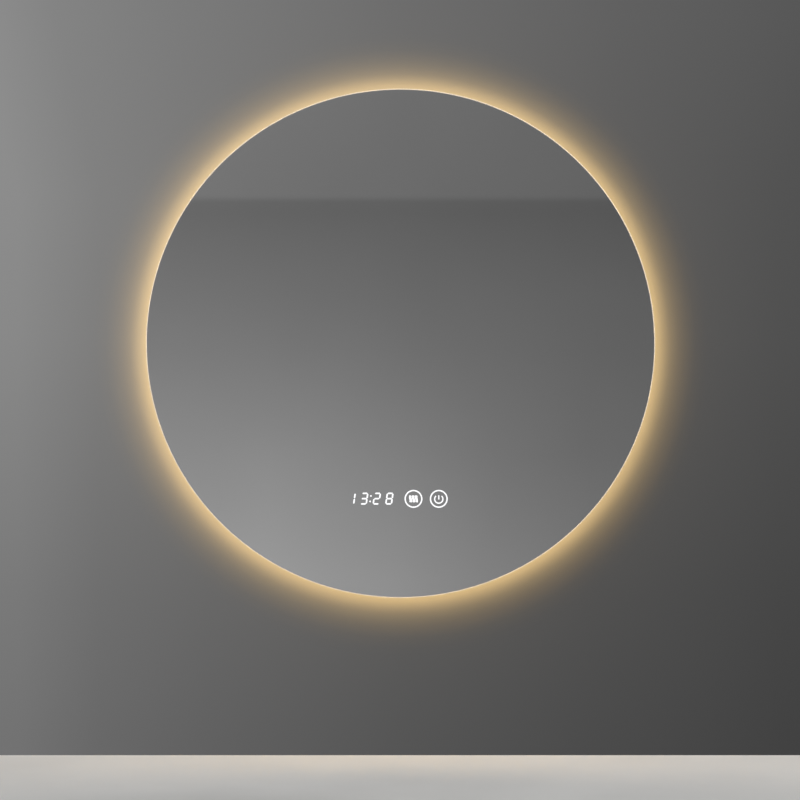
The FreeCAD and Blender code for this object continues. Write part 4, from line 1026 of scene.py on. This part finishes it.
for face in bm.faces:
    spot = face.calc_center_median()
    for x, z, turned in beads:
        along = (spot.x - x) * math.cos(turned) + (spot.z - z) * math.sin(turned)
        across = (spot.z - z) * math.cos(turned) - (spot.x - x) * math.sin(turned)
        if abs(face.normal.y) < 0.1 and abs(along) < length / 2 + edge and abs(across) < width / 2 + edge:
            cutWalls.append(face)
bmesh.ops.delete(bm, geom=cutWalls, context="FACES")
strays = {}  # points that the cutting leaves on a straight edge, each with the corner that takes it
for vert in bm.verts:
    ends = [line.other_vert(vert) for line in vert.link_edges if line.is_boundary]
    if len(ends) == 2 and (ends[0].co - vert.co).angle(vert.co - ends[1].co) < panelValues["straightAngle"]:
        strays[vert] = ends[0]
bmesh.ops.weld_verts(bm, targetmap=strays)
for x, z, turned in beads:
    for level in (panelFront, panelRear):
        layers = []
        for inset in (k * panelValues["beadStep"] for k in range(panelValues["beadSteps"])):
            t = min(1.0, inset / panelValues["beadFlank"])
            layers.append((ovalLine(x, z, length - 2 * inset, width - 2 * inset, turned),
                           level + panelValues["beadRise"] * t * t * (3 - 2 * t)))
        stackOutlines(bm, layers, closed=False)
bmesh.ops.remove_doubles(bm, verts=bm.verts, dist=panelValues["weldDistance"])
bmesh.ops.recalc_face_normals(bm, faces=bm.faces)
sheetPiece("pressed_back_panel", toMesh(bm, "panel"), spangledSteel, "back_panel")

coverValues = {"corner": 3.0 * mm, "edge": 0.4 * mm, "screwHole": 1.6 * mm, "bushHole": 7.1 * mm}
low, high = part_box("box_cover")
edge = coverValues["edge"]
body = bmesh.new()
stackOutlines(body, [
    (roundedBoxLine((low.x + high.x) / 2, (low.z + high.z) / 2, high.x - low.x - 2 * inset,
                    high.z - low.z - 2 * inset, coverValues["corner"] - inset), depth)
    for inset, depth in ((0, low.y), (0, high.y - edge), (edge * 0.3, high.y - edge * 0.3), (edge, high.y))])
cutter = bmesh.new()
shankHoles(cutter, "box_cover_screws", coverValues["screwHole"], low.y, high.y)
punch(cutter, circleLine(bushMiddle.x, bushMiddle.z, coverValues["bushHole"], steps=48), low.y, high.y)
sheetPiece("pressed_box_cover", cutAway(body, [cutter]), coverSteel, "box_cover")

barValues = {
    "thickness": 2.5 * mm,
    "gap": 3.0 * mm,               # slot of the hook
    "stepTop": 10.5 * mm,
    "leadIn": 1.0 * mm,
    "bend": 1.3 * mm,
    "corner": 0.35 * mm,
    "cornerSteps": 4,
    "slotMiddles": (-150 * mm, -50 * mm, 50 * mm, 150 * mm),
    "slotSize": (12.0 * mm, 5.5 * mm),
    "rivetHole": 1.7 * mm,
}


def barSection(foot, lipTop):
    # hook section as (distance from the flange's back, height); bends are rounder than cut edges
    t, gap, top, lead = (barValues[k] for k in ("thickness", "gap", "stepTop", "leadIn"))
    bend, small = barValues["bend"], barValues["corner"]
    corners = [(0, foot, small), (0, top, bend), (gap, top, small * 2), (gap, lipTop - lead, small),
               (gap + lead, lipTop, small), (gap + t, lipTop, small), (gap + t, top - t, bend),
               (t, top - t, small * 2), (t, foot, small)]
    section = []
    for k, (depth, height, radius) in enumerate(corners):
        corner = Vector((depth, height))
        before = (Vector(corners[k - 1][:2]) - corner).normalized() * radius
        after = (Vector(corners[(k + 1) % len(corners)][:2]) - corner).normalized() * radius
        for step in range(barValues["cornerSteps"] + 1):
            share = step / barValues["cornerSteps"]
            section.append(corner + before * (1 - share) ** 2 + after * share ** 2)
    return section


def barMesh(section, half, cutter):
    body = bmesh.new()
    ends = [[body.verts.new((x, y, z)) for y, z in section] for x in (-half, half)]
    for end in ends:
        body.faces.new(end)
    for k in range(len(section)):
        n = (k + 1) % len(section)
        body.faces.new((ends[0][k], ends[0][n], ends[1][n], ends[1][k]))
    bmesh.ops.recalc_face_normals(body, faces=body.faces)
    return cutAway(body, [cutter])


low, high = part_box("wall_bar")
cutter = bmesh.new()
for x in barValues["slotMiddles"]:
    punch(cutter, ovalLine(x, 0.0, *barValues["slotSize"]), high.y - barValues["gap"], high.y)
section = [(high.y - depth, height) for depth, height in barSection(low.z, high.z)]
sheetPiece("rolled_wall_bar", barMesh(section, high.x, cutter), zincPlate, "wall_bar",
           "wall_bracket")

low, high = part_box("hanger_bar")
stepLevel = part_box("wall_bar")[1].z + barValues["stepTop"]
cutter = bmesh.new()
shankHoles(cutter, "hanger_rivets", barValues["rivetHole"], low.y, low.y + barValues["thickness"])
section = [(low.y + depth, stepLevel - height)
           for depth, height in barSection(stepLevel - high.z, stepLevel - low.z)]
sheetPiece("rolled_hanger_bar", barMesh(section, high.x, cutter), zincPlate, "hanger_bar")
print("sheet metal of the back made")


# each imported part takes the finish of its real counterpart

partFinishes = (
    (zincPlate, "wall_bar hanger_bar panel_screws box_cover_screws"),
    (brightAluminium, "hanger_rivets driver_capacitors clock_battery"),
    (satinAluminium, "frame_ring splice_plate"),
    (spangledSteel, "back_panel"),
    (coverSteel, "box_cover"),
    (brass, "terminal_screws earth_stud earth_nut"),
    (closedFoam, "glass_bond_pads driver_tape control_gasket"),
    (whiteNylon, "demist_terminal strip_plug lead_clips control_socket terminal_block"),
    (blackRubber, "lead_grommet wall_bumpers cable_bush"),
    (whitePolycarbonate, "driver_case driver_cover"),
    (greyPolycarbonate, "junction_box"),
    (blackPlastic, "control_housing"),
    (circuitBoard, "driver_board control_board"),
    (ferriteCore, "driver_transformer"),
    (whiteMask, "led_strip"),
    (phosphor, "led_chips"),
    (opalPlastic, "light_diffuser"),
    (heatingFilm, "demist_film"),
    (cableSheath, "mains_lead strip_lead control_lead demist_lead"),
    (earthSheath, "earth_lead"),
    (pottingResin, "clock_display"),
    (litBar, "clock_segments"),
    (clearGuide, "demist_key_guide power_key_guide"),
)
for material, names in partFinishes:
    for name in names.split():
        for materialSlot in nodes[name].material_slots:
            materialSlot.material = material
print("finishes given to the packed parts")


# lamps: high and wide, well outside what the glass shows

lampValues = {
    "rearKey": {"place": (2.4, 2.9, 1.5), "size": 1.8, "power": 85.0},
    "rearFill": {"place": (-2.4, 1.6, 0.5), "size": 1.4, "power": 18.0},
}
for name, values in lampValues.items():
    lampData = bpy.data.lights.new(name, "AREA")
    lampData.shape = "DISK"
    lampData.size = values["size"]
    lampData.energy = values["power"]
    lamp = bpy.data.objects.new(name, lampData)
    lamp.location = values["place"]
    lamp.rotation_euler = (centre - Vector(values["place"])).to_track_quat("-Z", "Y").to_euler()
    lamp.visible_glossy = False  # the metals show the soft room instead of a hard glint
    scene.collection.objects.link(lamp)
print("lamps set")

low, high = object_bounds()
